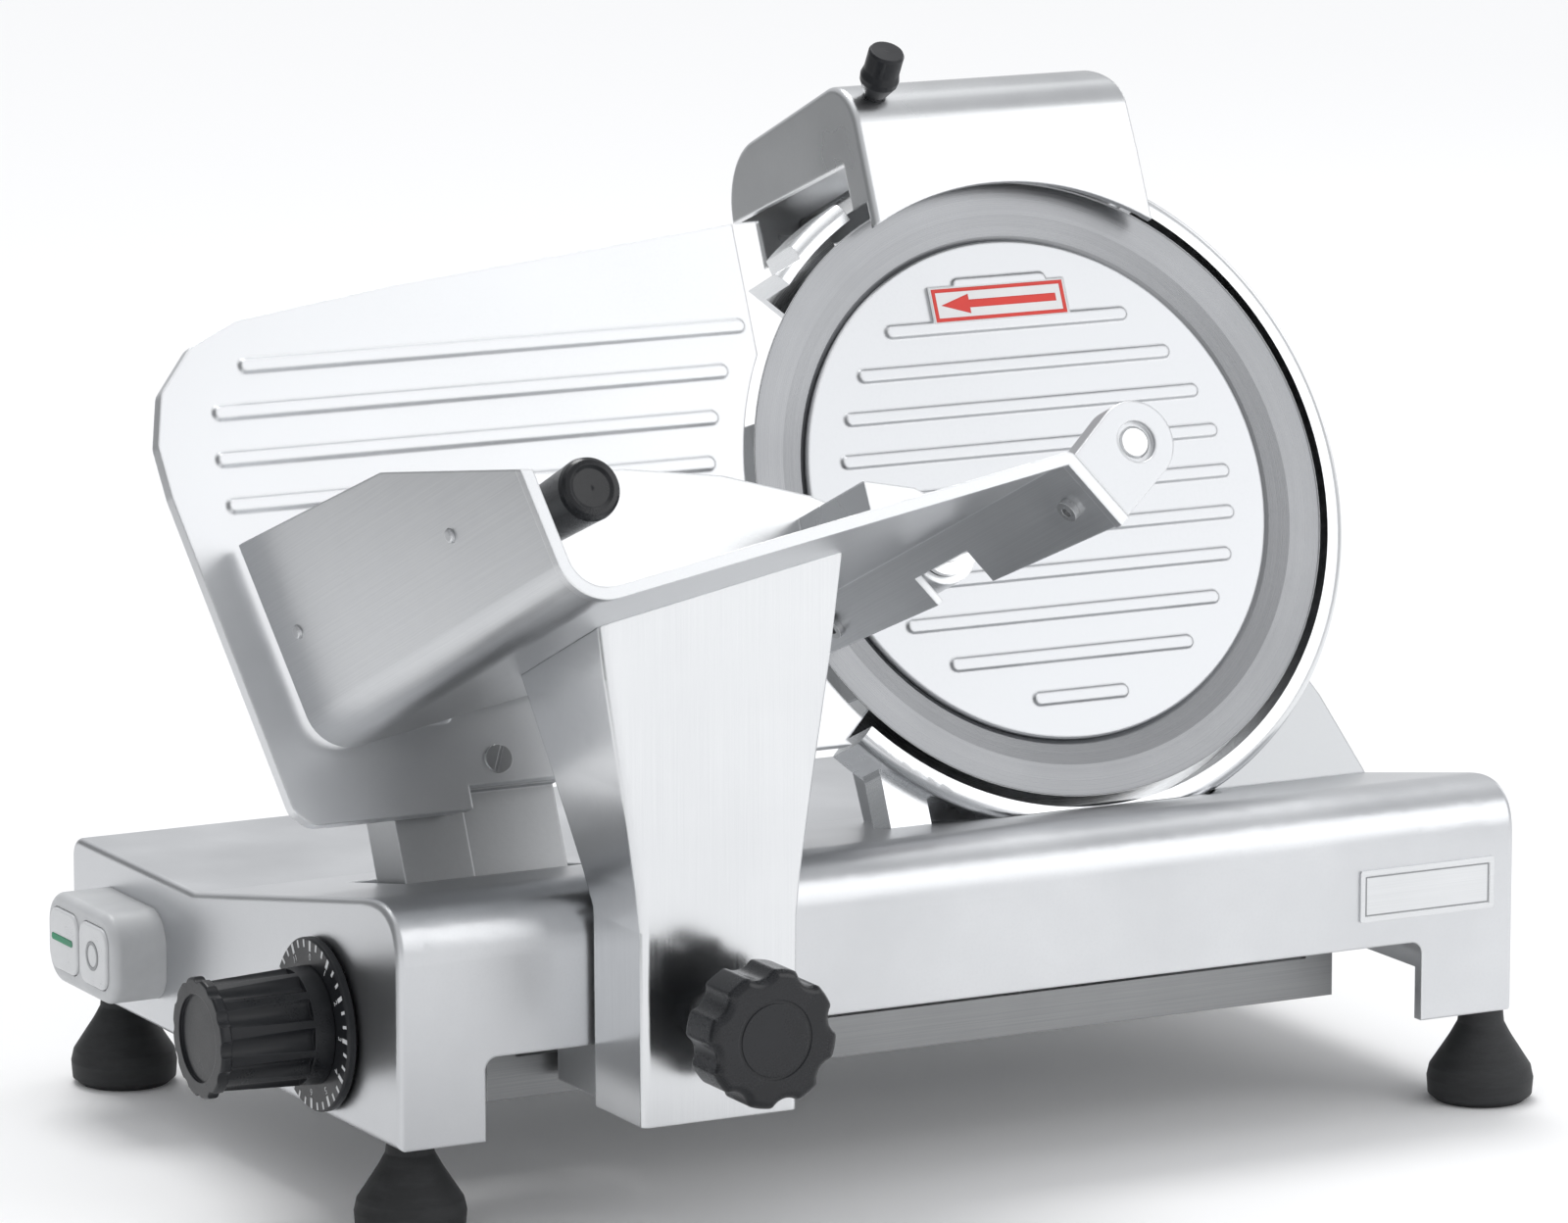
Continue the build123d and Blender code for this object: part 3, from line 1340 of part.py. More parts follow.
carriage_screws.part.label = "carriage_screws"
export_step(carriage_screws.part, "parts/carriage_screws.step")

with BuildPart() as pusher_rod:
    with BuildSketch(disc(8.5)):
        with Locations((PROD_X, PROD_P)):
            Circle(6)
    extrude(amount=228.3)
    chamfer(pusher_rod.edges().filter_by(GeomType.CIRCLE), length=0.8)
pusher_rod.part.label = "pusher_rod"
export_step(pusher_rod.part, "parts/pusher_rod.step")

with BuildPart() as pusher_sleeve:
    with BuildSketch(disc(40)):
        with Locations((PROD_X, PROD_P)):
            Circle(8.5)
            Circle(6.05, mode=Mode.SUBTRACT)
    extrude(amount=44)
    for o0 in (40, 81.5):
        with BuildSketch(disc(o0)):
            with Locations((PROD_X, PROD_P)):
                Circle(11)
                Circle(6.05, mode=Mode.SUBTRACT)
        extrude(amount=2.5)
pusher_sleeve.part.label = "pusher_sleeve"
export_step(pusher_sleeve.part, "parts/pusher_sleeve.step")

PUSH_O = 20.0
with BuildPart() as pusher_plate:
    with BuildSketch(disc(PUSH_O)) as pp:
        with BuildLine():
            Polyline((-298, -61), (-306, -28), (-300, 4), (-286, 15), (-236, 18.5), (-192, 16.6), (-151, 10.6),
                     (-115, -0.5), (-92, -12), (-84, -22), (-84, -33), (-104, -29), (-118, -31.5),
                     (-160, -38.8), (-298, -61))
        make_face()
    extrude(amount=4)
    # hub on the sleeve
    with BuildSketch(disc(43)):
        with Locations((PROD_X, PROD_P)):
            Circle(14)
    extrude(amount=38)
    # arm carrying the plate from the hub
    with BuildSketch(disc(PUSH_O)):
        with BuildLine():
            Polyline((-122, -9), (-101, -13.5), (-86, -23.5), (-82, -31), (-104, -29), (-121, -32), (-122, -9))
        make_face()
    extrude(amount=61)
    with BuildSketch(disc(PUSH_O - 0.01)):
        with BuildLine():
            Polyline((-200, 11.5), (-151, 8.8), (-115, -2.3), (-110, -9), (-112, -27), (-150, -33), (-200, -41.5),
                     (-200, 11.5))
        make_face()
    extrude(amount=9, taper=38)
    # grip seat
    with BuildSketch(disc(PUSH_O + 4)):
        with Locations((-236.8, -2.7)):
            Circle(11)
    extrude(amount=5, taper=20)
    # spikes that hold the food
    with BuildSketch(disc(PUSH_O)):
        with Locations((-225, -24)):
            with GridLocations(22, 20, 6, 2):
                Circle(2.4)
    extrude(amount=-8, taper=15)
    with BuildSketch(disc(42)):
        with Locations((PROD_X, PROD_P)):
            Circle(8.55)
    extrude(amount=45, mode=Mode.SUBTRACT)
    with BuildSketch(disc(PUSH_O - 1)):
        with Locations((PROD_X, PROD_P)):
            Circle(7.5)
    extrude(amount=24, mode=Mode.SUBTRACT)
    with BuildSketch(disc(81)):
        with Locations((PROD_X, PROD_P)):
            Circle(11.5)
    extrude(amount=4, mode=Mode.SUBTRACT)
    with BuildSketch(disc(39.7)):
        with Locations((PROD_X, PROD_P)):
            Circle(11.5)
    extrude(amount=3.3, mode=Mode.SUBTRACT)
    with BuildSketch(disc(PUSH_O - 1)):
        with Locations((-236.8, -2.7)):
            Circle(3.05)
    extrude(amount=12, mode=Mode.SUBTRACT)
pusher_plate.part.label = "pusher_plate"
export_step(pusher_plate.part, "parts/pusher_plate.step")

with BuildPart() as pusher_knob:
    with BuildSketch(section(-236.8)):
        with BuildLine():
            Polyline((29.1, -2.7), (29.1, 7.6), (31.5, 8.3), (40, 8.3), (70, 9.3), (80.5, 9.7), (82.6, 9.2),
                     (83.7, 8.0), (84, 6.2), (83.2, 4.8), (83, -2.7), (29.1, -2.7))
        make_face()
    revolve(axis=Axis(disc(0, -236.8, -2.7).origin, disc(0).z_dir))
    with BuildSketch(disc(28)):
        with Locations((-236.8, -2.7)):
            Circle(3.02)
    extrude(amount=32, mode=Mode.SUBTRACT)
pusher_knob.part.label = "pusher_knob"
export_step(pusher_knob.part, "parts/pusher_knob.step")

with BuildPart() as pusher_knob_screw:
    with BuildSketch(disc(PUSH_O + 0.2)):
        with Locations((-236.8, -2.7)):
            Circle(3)
    extrude(amount=39)
    with BuildSketch(disc(PUSH_O - 3.2)):
        with Locations((-236.8, -2.7)):
            Circle(5.4)
            RegularPolygon(2.6, 6, mode=Mode.SUBTRACT)
    extrude(amount=3.18)
    with BuildSketch(disc(PUSH_O - 0.1)):
        with Locations((-236.8, -2.7)):
            Circle(3)
    extrude(amount=0.4)
pusher_knob_screw.part.label = "pusher_knob_screw"
export_step(pusher_knob_screw.part, "parts/pusher_knob_screw.step")

# --------------------------------------------------------------- plate and gland
with BuildPart() as nameplate:
    with BuildSketch(front(-0.02)):
        with Locations((441.6, 89.2)):
            RectangleRounded(61, 20.4, 1)
    extrude(amount=1.0)
    with BuildSketch(front(-0.7)):
        with Locations((441.6, 89.2)):
            RectangleRounded(57, 16.4, 0.6)
    extrude(amount=1.0, mode=Mode.SUBTRACT)
nameplate.part.label = "nameplate"
export_step(nameplate.part, "parts/nameplate.step")

with BuildPart() as cord_gland:
    with BuildSketch(front(BASE_W + 0.02)):
        with Locations((90, 82)):
            Circle(10)
    extrude(amount=-3)
    with BuildSketch(front(BASE_W + 3)):
        with Locations((90, 82)):
            RegularPolygon(9.5, 6)
    extrude(amount=-7)
    with BuildSketch(front(BASE_W - 9)):
        with Locations((90, 82)):
            Circle(6)
    extrude(amount=-20)
    with BuildSketch(front(BASE_W + 10)):
        with Locations((90, 82)):
            Circle(7)
    extrude(amount=-5, taper=12)
    with BuildSketch(front(BASE_W - 12)):
        with Locations((90, 82)):
            Circle(3.8)
    extrude(amount=-32, mode=Mode.SUBTRACT)
cord_gland.part.label = "cord_gland"
export_step(cord_gland.part, "parts/cord_gland.step")
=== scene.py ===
import math

import bmesh
import bpy
from mathutils import Matrix, Vector


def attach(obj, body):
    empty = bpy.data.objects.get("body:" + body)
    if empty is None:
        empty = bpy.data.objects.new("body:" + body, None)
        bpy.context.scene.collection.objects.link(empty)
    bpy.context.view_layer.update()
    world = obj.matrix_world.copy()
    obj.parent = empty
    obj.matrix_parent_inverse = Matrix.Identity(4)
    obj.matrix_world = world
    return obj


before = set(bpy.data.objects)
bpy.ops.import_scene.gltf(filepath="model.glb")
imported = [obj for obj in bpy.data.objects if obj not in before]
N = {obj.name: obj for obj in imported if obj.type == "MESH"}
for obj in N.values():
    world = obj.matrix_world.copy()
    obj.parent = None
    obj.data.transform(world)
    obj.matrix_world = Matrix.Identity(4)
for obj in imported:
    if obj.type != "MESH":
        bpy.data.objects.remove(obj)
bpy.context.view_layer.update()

# ------------------------------------------------------------------ machine frames
TILT = math.radians(23.57)
SN, CS = math.sin(TILT), math.cos(TILT)
CX, CY = 0.222, 0.09873
BC = Vector((0.3431 - CX, 0.1306 - CY, 0.236))       # blade centre
UP_BLADE = Vector((0, SN, CS))
OUT_BLADE = Vector((0, -CS, SN))


def on_blade(x, p, off):
    """Point in the blade's own frame, millimetres in, metres out."""
    return BC + Vector((x, 0, 0)) / 1000 + UP_BLADE * (p / 1000) + OUT_BLADE * (off / 1000)


def in_base(x, y, z):
    """Point in the machine's datum (front left corner of the base), millimetres in."""
    return Vector((x / 1000 - CX, y / 1000 - CY, z / 1000))


# ---------------------------------------------------------------------- materials
class Tree:
    def __init__(self, name):
        self.m = bpy.data.materials.new(name)
        self.m.use_nodes = True
        self.nt = self.m.node_tree
        self.b = self.nt.nodes["Principled BSDF"]
        self.obj = None

    def n(self, kind, **k):
        node = self.nt.nodes.new(kind)
        for a, v in k.items():
            setattr(node, a, v)
        return node

    def link(self, a, b):
        self.nt.links.new(a, b)

    def coord(self):
        if self.obj is None:
            self.obj = self.n("ShaderNodeTexCoord").outputs["Object"]
        return self.obj

    def axes(self, ax, ay, az, sx, sy, sz, centre=(0, 0, 0)):
        """Coordinates measured along three given axes, each with its own scale."""
        sub = self.n("ShaderNodeVectorMath", operation="SUBTRACT")
        self.link(self.coord(), sub.inputs[0])
        sub.inputs[1].default_value = centre
        out = self.n("ShaderNodeCombineXYZ")
        for i, (a, s) in enumerate(((ax, sx), (ay, sy), (az, sz))):
            d = self.n("ShaderNodeVectorMath", operation="DOT_PRODUCT")
            self.link(sub.outputs[0], d.inputs[0])
            d.inputs[1].default_value = [c * s for c in a]
            self.link(d.outputs["Value"], out.inputs[i])
        return out.outputs[0]

    def noise(self, vec, scale, detail=3.0, rough=0.55, w=None):
        t = self.n("ShaderNodeTexNoise")
        t.inputs["Scale"].default_value = scale
        t.inputs["Detail"].default_value = detail
        t.inputs["Roughness"].default_value = rough
        if w is not None:
            t.noise_dimensions = "1D"
            self.link(w, t.inputs["W"])
        else:
            self.link(vec, t.inputs["Vector"])
        return t.outputs["Fac"]

    def span(self, src, lo, hi, a=0.0, b=1.0):
        r = self.n("ShaderNodeMapRange")
        self.link(src, r.inputs["Value"])
        r.inputs["From Min"].default_value = a
        r.inputs["From Max"].default_value = b
        r.inputs["To Min"].default_value = lo
        r.inputs["To Max"].default_value = hi
        return r.outputs["Result"]

    def mix(self, fac, a, b):
        x = self.n("ShaderNodeMix", data_type="RGBA")
        if isinstance(fac, float):
            x.inputs["Factor"].default_value = fac
        else:
            self.link(fac, x.inputs["Factor"])
        for v, s in ((a, x.inputs["A"]), (b, x.inputs["B"])):
            if isinstance(v, (tuple, list)):
                s.default_value = (*v, 1.0)
            else:
                self.link(v, s)
        return x.outputs["Result"]

    def math(self, op, a, b):
        x = self.n("ShaderNodeMath", operation=op)
        for v, s in ((a, x.inputs[0]), (b, x.inputs[1])):
            if isinstance(v, (float, int)):
                s.default_value = v
            else:
                self.link(v, s)
        return x.outputs[0]

    def bevel(self, radius):
        b = self.n("ShaderNodeBevel", samples=4)
        b.inputs["Radius"].default_value = radius
        return b.outputs["Normal"]

    def edge(self, bevel_normal, gain=9.0):
        """1 on a rounded edge, 0 on a flat."""
        g = self.n("ShaderNodeNewGeometry")
        d = self.n("ShaderNodeVectorMath", operation="DOT_PRODUCT")
        self.link(bevel_normal, d.inputs[0])
        self.link(g.outputs["Normal"], d.inputs[1])
        return self.span(d.outputs["Value"], gain * 0.11, 0.0, 0.86, 0.995)

    def bump(self, height, strength, dist, normal=None):
        b = self.n("ShaderNodeBump")
        b.inputs["Strength"].default_value = strength
        b.inputs["Distance"].default_value = dist
        self.link(height, b.inputs["Height"])
        if normal is not None:
            self.link(normal, b.inputs["Normal"])
        return b.outputs["Normal"]

    def out(self, base=None, rough=None, normal=None, **consts):
        for key, v in (("Base Color", base), ("Roughness", rough), ("Normal", normal)):
            if v is None:
                continue
            s = self.b.inputs[key]
            if isinstance(v, (tuple, list)):
                s.default_value = (*v, 1.0)
            elif isinstance(v, (float, int)):
                s.default_value = v
            else:
                self.link(v, s)
        for key, v in consts.items():
            self.b.inputs[key.replace("_", " ")].default_value = v
        return self.m


X, Y, Z = (1, 0, 0), (0, 1, 0), (0, 0, 1)
UPB, OUTB = tuple(UP_BLADE), tuple(OUT_BLADE)


def brushed(name, dark, light, rough, grain, across=2600.0, along=14.0, bump=0.10, bev=0.0009,
            metallic=1.0, streak=0.6, wear=(0.92, 0.93, 0.94)):
    """Brushed or satin sheet: long fine grain along grain[0]."""
    t = Tree(name)
    v = t.axes(grain[0], grain[1], grain[2], along, across, across)
    fine = t.noise(v, 1.0, 4.0, 0.65)
    cloud = t.noise(t.coord(), 16.0, 3.0, 0.6)
    both = t.math("ADD", t.math("MULTIPLY", fine, streak), t.math("MULTIPLY", cloud, 1.0 - streak))
    bn = t.bevel(bev)
    e = t.edge(bn)
    col = t.mix(t.span(both, 0.0, 1.0, 0.3, 0.7), dark, light)
    col = t.mix(e, col, wear)
    r = t.math("ADD", t.span(both, -0.06, 0.06, 0.3, 0.7), rough)
    nrm = t.bump(fine, bump, 0.0003, bn)
    return t.out(col, r, nrm, Metallic=metallic)


def cast(name, dark, light, rough, grain_scale=900.0, bump=0.08, bev=0.0012, metallic=1.0,
         wear=(0.93, 0.94, 0.95)):
    """Bead-blasted and anodised casting: fine even grain with soft clouding."""
    t = Tree(name)
    fine = t.noise(t.coord(), grain_scale, 2.0, 0.6)
    cloud = t.noise(t.coord(), 11.0, 4.0, 0.55)
    bn = t.bevel(bev)
    e = t.edge(bn)
    col = t.mix(t.span(cloud, 0.0, 1.0, 0.3, 0.7), dark, light)
    col = t.mix(t.span(fine, 0.0, 0.22, 0.45, 0.75), col, dark)
    col = t.mix(e, col, wear)
    r = t.math("ADD", t.span(cloud, -0.04, 0.05, 0.3, 0.7), rough)
    nrm = t.bump(fine, bump, 0.0002, bn)
    return t.out(col, r, nrm, Metallic=metallic)


def turned(name, dark, light, rough, centre, axis, rings=5200.0, bump=0.12, bev=0.0003):
    """Turned or ground disc: concentric grain about an axis."""
    t = Tree(name)
    sub = t.n("ShaderNodeVectorMath", operation="SUBTRACT")
    t.link(t.coord(), sub.inputs[0])
    sub.inputs[1].default_value = centre
    crs = t.n("ShaderNodeVectorMath", operation="CROSS_PRODUCT")
    t.link(sub.outputs[0], crs.inputs[0])
    crs.inputs[1].default_value = axis
    ln = t.n("ShaderNodeVectorMath", operation="LENGTH")
    t.link(crs.outputs[0], ln.inputs[0])
    w = t.math("MULTIPLY", ln.outputs["Value"], rings)
    fine = t.noise(None, 1.0, 3.0, 0.7, w=w)
    wide = t.noise(None, 0.035, 2.0, 0.5, w=w)
    cloud = t.noise(t.coord(), 22.0, 3.0, 0.6)
    bn = t.bevel(bev)
    e = t.edge(bn)
    col = t.mix(t.span(fine, 0.0, 1.0, 0.3, 0.7), dark, light)
    col = t.mix(t.span(wide, 0.0, 0.35, 0.35, 0.7), col, light)
    col = t.mix(t.math("MULTIPLY", e, 0.8), col, (0.9, 0.91, 0.92))
    r = t.math("ADD", t.math("ADD", t.span(fine, -0.05, 0.05, 0.3, 0.7), t.span(cloud, -0.03, 0.03, 0.3, 0.7)), rough)
    return t.out(col, r, t.bump(fine, bump, 0.0002, bn), Metallic=1.0)


def plastic(name, base, lighter, rough, grain=1500.0, bump=0.12, coat=0.0, bev=0.0007, edge_gain=0.5, spec=0.5):
    """Moulded plastic: spark-eroded fine texture, slightly polished edges."""
    t = Tree(name)
    fine = t.noise(t.coord(), grain, 2.0, 0.6)
    cloud = t.noise(t.coord(), 35.0, 4.0, 0.6)
    bn = t.bevel(bev)
    e = t.math("MULTIPLY", t.edge(bn), edge_gain)
    col = t.mix(t.span(cloud, 0.0, 1.0, 0.35, 0.7), base, lighter)
    col = t.mix(e, col, tuple(min(1.0, c * 1.9 + 0.015) for c in lighter))
    r = t.math("ADD", t.math("ADD", t.span(cloud, -0.07, 0.07, 0.3, 0.7), t.span(fine, -0.04, 0.04, 0.3, 0.7)), rough)
    return t.out(col, r, t.bump(fine, bump, 0.0002, bn), Metallic=0.0, Coat_Weight=coat,
                 Coat_Roughness=0.2, Specular_IOR_Level=spec)


def rubber(name, base, lighter):
    """Moulded rubber with dust in the grain and scuffs."""
    t = Tree(name)
    fine = t.noise(t.coord(), 700.0, 4.0, 0.7)
    scuff = t.noise(t.axes(X, Y, Z, 60, 60, 260), 1.0, 5.0, 0.7)
    bn = t.bevel(0.0008)
    e = t.math("MULTIPLY", t.edge(bn), 0.35)
    col = t.mix(t.span(scuff, 0.0, 1.0, 0.42, 0.72), base, lighter)
    col = t.mix(e, col, tuple(c * 1.8 + 0.01 for c in lighter))
    r = t.span(scuff, 0.52, 0.72, 0.3, 0.7)
    return t.out(col, r, t.bump(fine, 0.22, 0.0004, bn), Metallic=0.0, Specular_IOR_Level=0.4)


def stone(name, base, lighter):
    t = Tree(name)
    v = t.n("ShaderNodeTexVoronoi")
    v.inputs["Scale"].default_value = 2200.0
    t.link(t.coord(), v.inputs["Vector"])
    fine = t.noise(t.coord(), 1400.0, 3.0, 0.7)
    col = t.mix(t.span(fine, 0.0, 1.0, 0.35, 0.65), base, lighter)
    return t.out(col, t.span(fine, 0.82, 0.95, 0.3, 0.7),
                 t.bump(v.outputs["Distance"], 0.5, 0.0004, t.bevel(0.0004)), Metallic=0.0)


BLADE_C = tuple(BC)
M = {}
M["base"] = cast("anodised_casting", (0.585, 0.595, 0.61), (0.69, 0.70, 0.715), 0.33)
M["gauge"] = cast("anodised_plate", (0.71, 0.72, 0.735), (0.79, 0.80, 0.81), 0.40, bump=0.05)
M["cover"] = cast("blade_cover_metal", (0.52, 0.53, 0.545), (0.60, 0.61, 0.625), 0.36, bump=0.06)
M["housing"] = cast("cast_housing", (0.44, 0.45, 0.46), (0.53, 0.54, 0.55), 0.40)
# raw casting grey, rougher and darker than the machined faces; on the gauge bracket this darker grey is partly painted
# shade, standing in for the shadow the gauge plate and tray cast on it
M["rawcast_and_shade"] = cast("raw_casting_and_painted_shade", (0.50, 0.51, 0.52), (0.60, 0.61, 0.62), 0.48, grain_scale=420.0, bump=0.2)
M["ring"] = turned("guard_ring_metal", (0.64, 0.65, 0.665), (0.77, 0.78, 0.79), 0.26, BLADE_C, OUTB, bump=0.06)
M["blade"] = turned("blade_steel", (0.22, 0.225, 0.235), (0.32, 0.325, 0.335), 0.30, BLADE_C, OUTB)
M["arm"] = brushed("brushed_arm", (0.66, 0.67, 0.685), (0.78, 0.79, 0.80), 0.20, (Z, X, Y), bump=0.06)
M["tray"] = brushed("brushed_tray", (0.55, 0.56, 0.575), (0.68, 0.69, 0.70), 0.33, (OUTB, X, UPB))
M["hood"] = cast("polished_hood", (0.60, 0.61, 0.62), (0.69, 0.70, 0.71), 0.27, bump=0.03)
M["steel"] = brushed("fastener_steel", (0.42, 0.425, 0.43), (0.60, 0.605, 0.61), 0.30, (Y, X, Z), along=60, bev=0.0003)
M["rail"] = brushed("rail_steel", (0.26, 0.265, 0.27), (0.36, 0.365, 0.37), 0.38, (X, Y, Z), bev=0.0005,
                    wear=(0.6, 0.6, 0.6))
M["plated"] = brushed("plated_rod", (0.66, 0.665, 0.67), (0.76, 0.765, 0.77), 0.12, (X, Y, Z), along=40, bump=0.02,
                      bev=0.0004)
M["cover_sheet"] = brushed("motor_cover_sheet", (0.62, 0.63, 0.64), (0.72, 0.73, 0.74), 0.35, (X, UPB, OUTB))
M["bottom"] = brushed("zinc_sheet", (0.40, 0.41, 0.42), (0.52, 0.53, 0.54), 0.42, (X, Y, Z), streak=0.3)
M["black"] = plastic("black_plastic", (0.010, 0.011, 0.013), (0.017, 0.018, 0.021), 0.34, coat=0.06, spec=0.32)
M["black_soft"] = plastic("black_grip", (0.009, 0.010, 0.012), (0.015, 0.016, 0.019), 0.27, coat=0.12, spec=0.36)
M["grey"] = plastic("switch_grey", (0.50, 0.51, 0.52), (0.58, 0.59, 0.60), 0.42, edge_gain=0.25)
M["key"] = plastic("key_grey", (0.60, 0.61, 0.62), (0.68, 0.69, 0.70), 0.32, edge_gain=0.2, coat=0.2)
M["rubber"] = rubber("foot_rubber", (0.020, 0.021, 0.022), (0.036, 0.037, 0.039))
M["belt"] = rubber("belt_rubber", (0.016, 0.016, 0.017), (0.03, 0.03, 0.03))
M["stone"] = stone("grinding_stone_grit", (0.30, 0.26, 0.23), (0.44, 0.40, 0.36))
M["bronze"] = brushed("bush_bronze", (0.42, 0.27, 0.12), (0.55, 0.37, 0.18), 0.4, (X, Y, Z), wear=(0.7, 0.5, 0.3))
M["motor"] = plastic("motor_enamel", (0.05, 0.052, 0.056), (0.075, 0.078, 0.082), 0.45, grain=500.0, bump=0.3)
M["plate"] = brushed("etched_plate", (0.66, 0.67, 0.68), (0.76, 0.77, 0.78), 0.40, (X, Z, Y), bev=0.0003)
M["green"] = plastic("green_mark", (0.0, 0.20, 0.09), (0.01, 0.28, 0.13), 0.4, edge_gain=0.2)
M["white"] = plastic("white_mark", (0.72, 0.73, 0.74), (0.82, 0.83, 0.84), 0.45, edge_gain=0.1)
M["ring_mark"] = plastic("dark_mark", (0.30, 0.31, 0.32), (0.36, 0.37, 0.38), 0.45, edge_gain=0.1)
M["red"] = plastic("red_print", (0.68, 0.032, 0.022), (0.78, 0.05, 0.035), 0.42, edge_gain=0.0)
M["label"] = plastic("label_white", (0.80, 0.80, 0.80), (0.86, 0.86, 0.86), 0.45, edge_gain=0.0)

LOOK = {
    "base_casting": "base", "rubber_feet": "rubber", "foot_studs": "steel", "bottom_cover": "bottom",
    "guide_rail": "rail", "slide_rod": "plated", "switch_housing": "grey", "start_button": "key",
    "stop_button": "key", "dial_knob": "black", "dial_scale_ring": "black", "dial_shaft": "steel",
    # the gauge bracket's darker raw-casting grey is partly painted shade
    "dial_cam": "steel", "gauge_plate": "gauge", "gauge_screws": "steel", "gauge_bracket": "rawcast_and_shade",
    "cam_follower": "steel", "gauge_rod": "plated", "blade": "blade", "blade_cover": "cover",
    "blade_spindle": "steel", "spindle_bearings": "steel", "blade_pulley": "rawcast_and_shade", "blade_screws": "steel",
    "cover_tie_rod": "steel", "cover_lock_knob": "black", "blade_housing": "housing", "guard_ring": "ring",
    "slice_deflector": "tray", "motor_body": "motor", "machine_screws": "steel", "motor_shaft": "steel",
    "motor_pulley": "rawcast_and_shade", "drive_belt": "belt", "motor_cover": "cover_sheet", "sharpener_housing": "hood",
    "sharpener_post": "steel", "sharpener_knob": "black", "grinding_stone": "stone", "grinding_shaft": "steel",
    "truing_stone": "stone", "truing_shaft": "steel", "product_tray": "tray", "wall_rivets": "cover",
    "carriage_arm": "arm", "slide_block": "rawcast_and_shade", "slide_bushes": "bronze", "roller_pin": "steel",
    "guide_roller": "black", "carriage_knob": "black_soft", "knob_stud": "steel", "rod_brackets": "cover",
    "carriage_screws": "steel", "pusher_rod": "plated", "pusher_sleeve": "plated", "pusher_plate": "hood",
    "pusher_knob": "black_soft", "pusher_knob_screw": "steel", "nameplate": "plate", "cord_gland": "black",
}
for node, obj in N.items():
    mat = M[LOOK[node]]
    obj.data.materials.clear()
    obj.data.materials.append(mat)
    for poly in obj.data.polygons:
        poly.material_index = 0


# ------------------------------------------------------------------ riding pieces
def piece(name, mesh_or_curve, mat, body):
    o = bpy.data.objects.new(name, mesh_or_curve)
    bpy.context.scene.collection.objects.link(o)
    o.data.materials.append(M[mat])
    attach(o, body)
    return o


def prism(bm, pts, frame_of, h):
    """A flat shape given in two coordinates, raised by h along the third."""
    low = [bm.verts.new(frame_of(a, b, 0.0)) for a, b in pts]
    top = [bm.verts.new(frame_of(a, b, h)) for a, b in pts]
    k = len(pts)
    bm.faces.new(top)
    bm.faces.new(list(reversed(low)))
    for i in range(k):
        bm.faces.new((low[i], low[(i + 1) % k], top[(i + 1) % k], top[i]))


def done(bm, name):
    bmesh.ops.recalc_face_normals(bm, faces=bm.faces)
    me = bpy.data.meshes.new(name)
    bm.to_mesh(me)
    bm.free()
    return me


def ring_pts(r0, r1, a0, a1, n):
    outer = [(r1 * math.cos(a0 + (a1 - a0) * i / n), r1 * math.sin(a0 + (a1 - a0) * i / n)) for i in range(n + 1)]
    inner = [(r0 * math.cos(a0 + (a1 - a0) * i / n), r0 * math.sin(a0 + (a1 - a0) * i / n)) for i in range(n, -1, -1)]
    return outer + inner


# start and stop marks on the two keys (faces at x = -23.2 mm)
def key_face(y0, z0):
    return lambda a, b, h: in_base(-23.18 - h, y0 - a, z0 + b)


bm = bmesh.new()
kf = key_face(257.0, 67.0)
prism(bm, [(-9.2, -1.3), (9.2, -1.3), (9.9, -0.6), (9.9, 0.6), (9.2, 1.3), (-9.2, 1.3), (-9.9, 0.6), (-9.9, -0.6)],
      kf, 0.25)
piece("start_mark", done(bm, "start_mark"), "green", "start_key")
bm = bmesh.new()
kf = key_face(227.8, 66.5)
for k in range(4):
    a0 = k * math.pi / 2
    prism(bm, ring_pts(4.4, 5.8, a0, a0 + math.pi / 2, 10), kf, 0.25)
piece("stop_mark", done(bm, "stop_mark"), "ring_mark", "stop_key")

# dial scale: ticks and plain numbers on the ring's face (x = -5 mm)
DY, DZ = 65.7, 71.7


def dial_face(a, b, h):
    return in_base(-4.98 - h, DY - a, DZ + b)


bm = bmesh.new()
for k in range(36):
    ang = math.radians(90 - k * 10)
    major = k % 3 == 0
    r0, r1, w = (27.9, 31.9, 0.85) if major else (29.0, 31.9, 0.62)
    ca, sa = math.cos(ang), math.sin(ang)
    prism(bm, [(r0 * ca - w * sa, r0 * sa + w * ca), (r0 * ca + w * sa, r0 * sa - w * ca),
               (r1 * ca + w * sa, r1 * sa - w * ca), (r1 * ca - w * sa, r1 * sa + w * ca)], dial_face, 0.12)
piece("dial_ticks", done(bm, "dial_ticks"), "white", "dial")
for k in range(12):
    cu = bpy.data.curves.new("dial_number_%d" % k, "FONT")
    cu.body = str(k)
    cu.size = 0.0038
    cu.extrude = 0.00006
    cu.align_x = "CENTER"
    cu.align_y = "CENTER"
    ang = math.radians(90 - k * 30)
    o = bpy.data.objects.new("dial_number_%d" % k, cu)
    bpy.context.scene.collection.objects.link(o)
    pos = dial_face(25.6 * math.cos(ang), 25.6 * math.sin(ang), 0.06)
    right = Vector((0, -1, 0)) * math.sin(ang) + Vector((0, 0, 1)) * (-math.cos(ang))
    outw = Vector((0, -1, 0)) * math.cos(ang) + Vector((0, 0, 1)) * math.sin(ang)
    nrm = Vector((-1, 0, 0))
    right = outw.cross(nrm)
    m = Matrix((right, outw, nrm)).transposed().to_4x4()
    m.translation = pos
    o.matrix_world = m
    dg = bpy.context.evaluated_depsgraph_get()
    me = bpy.data.meshes.new_from_object(o.evaluated_get(dg))
    me.transform(m)
    bpy.data.objects.remove(o)
    piece("dial_figure_%d" % k, me, "white", "dial")

# printed direction arrow on the blade cover's raised pad
AX, AP, AO = -2.0, 76.2, -0.58


def pad(a, b, h):
    return on_blade(AX + a, AP + b, AO + h)


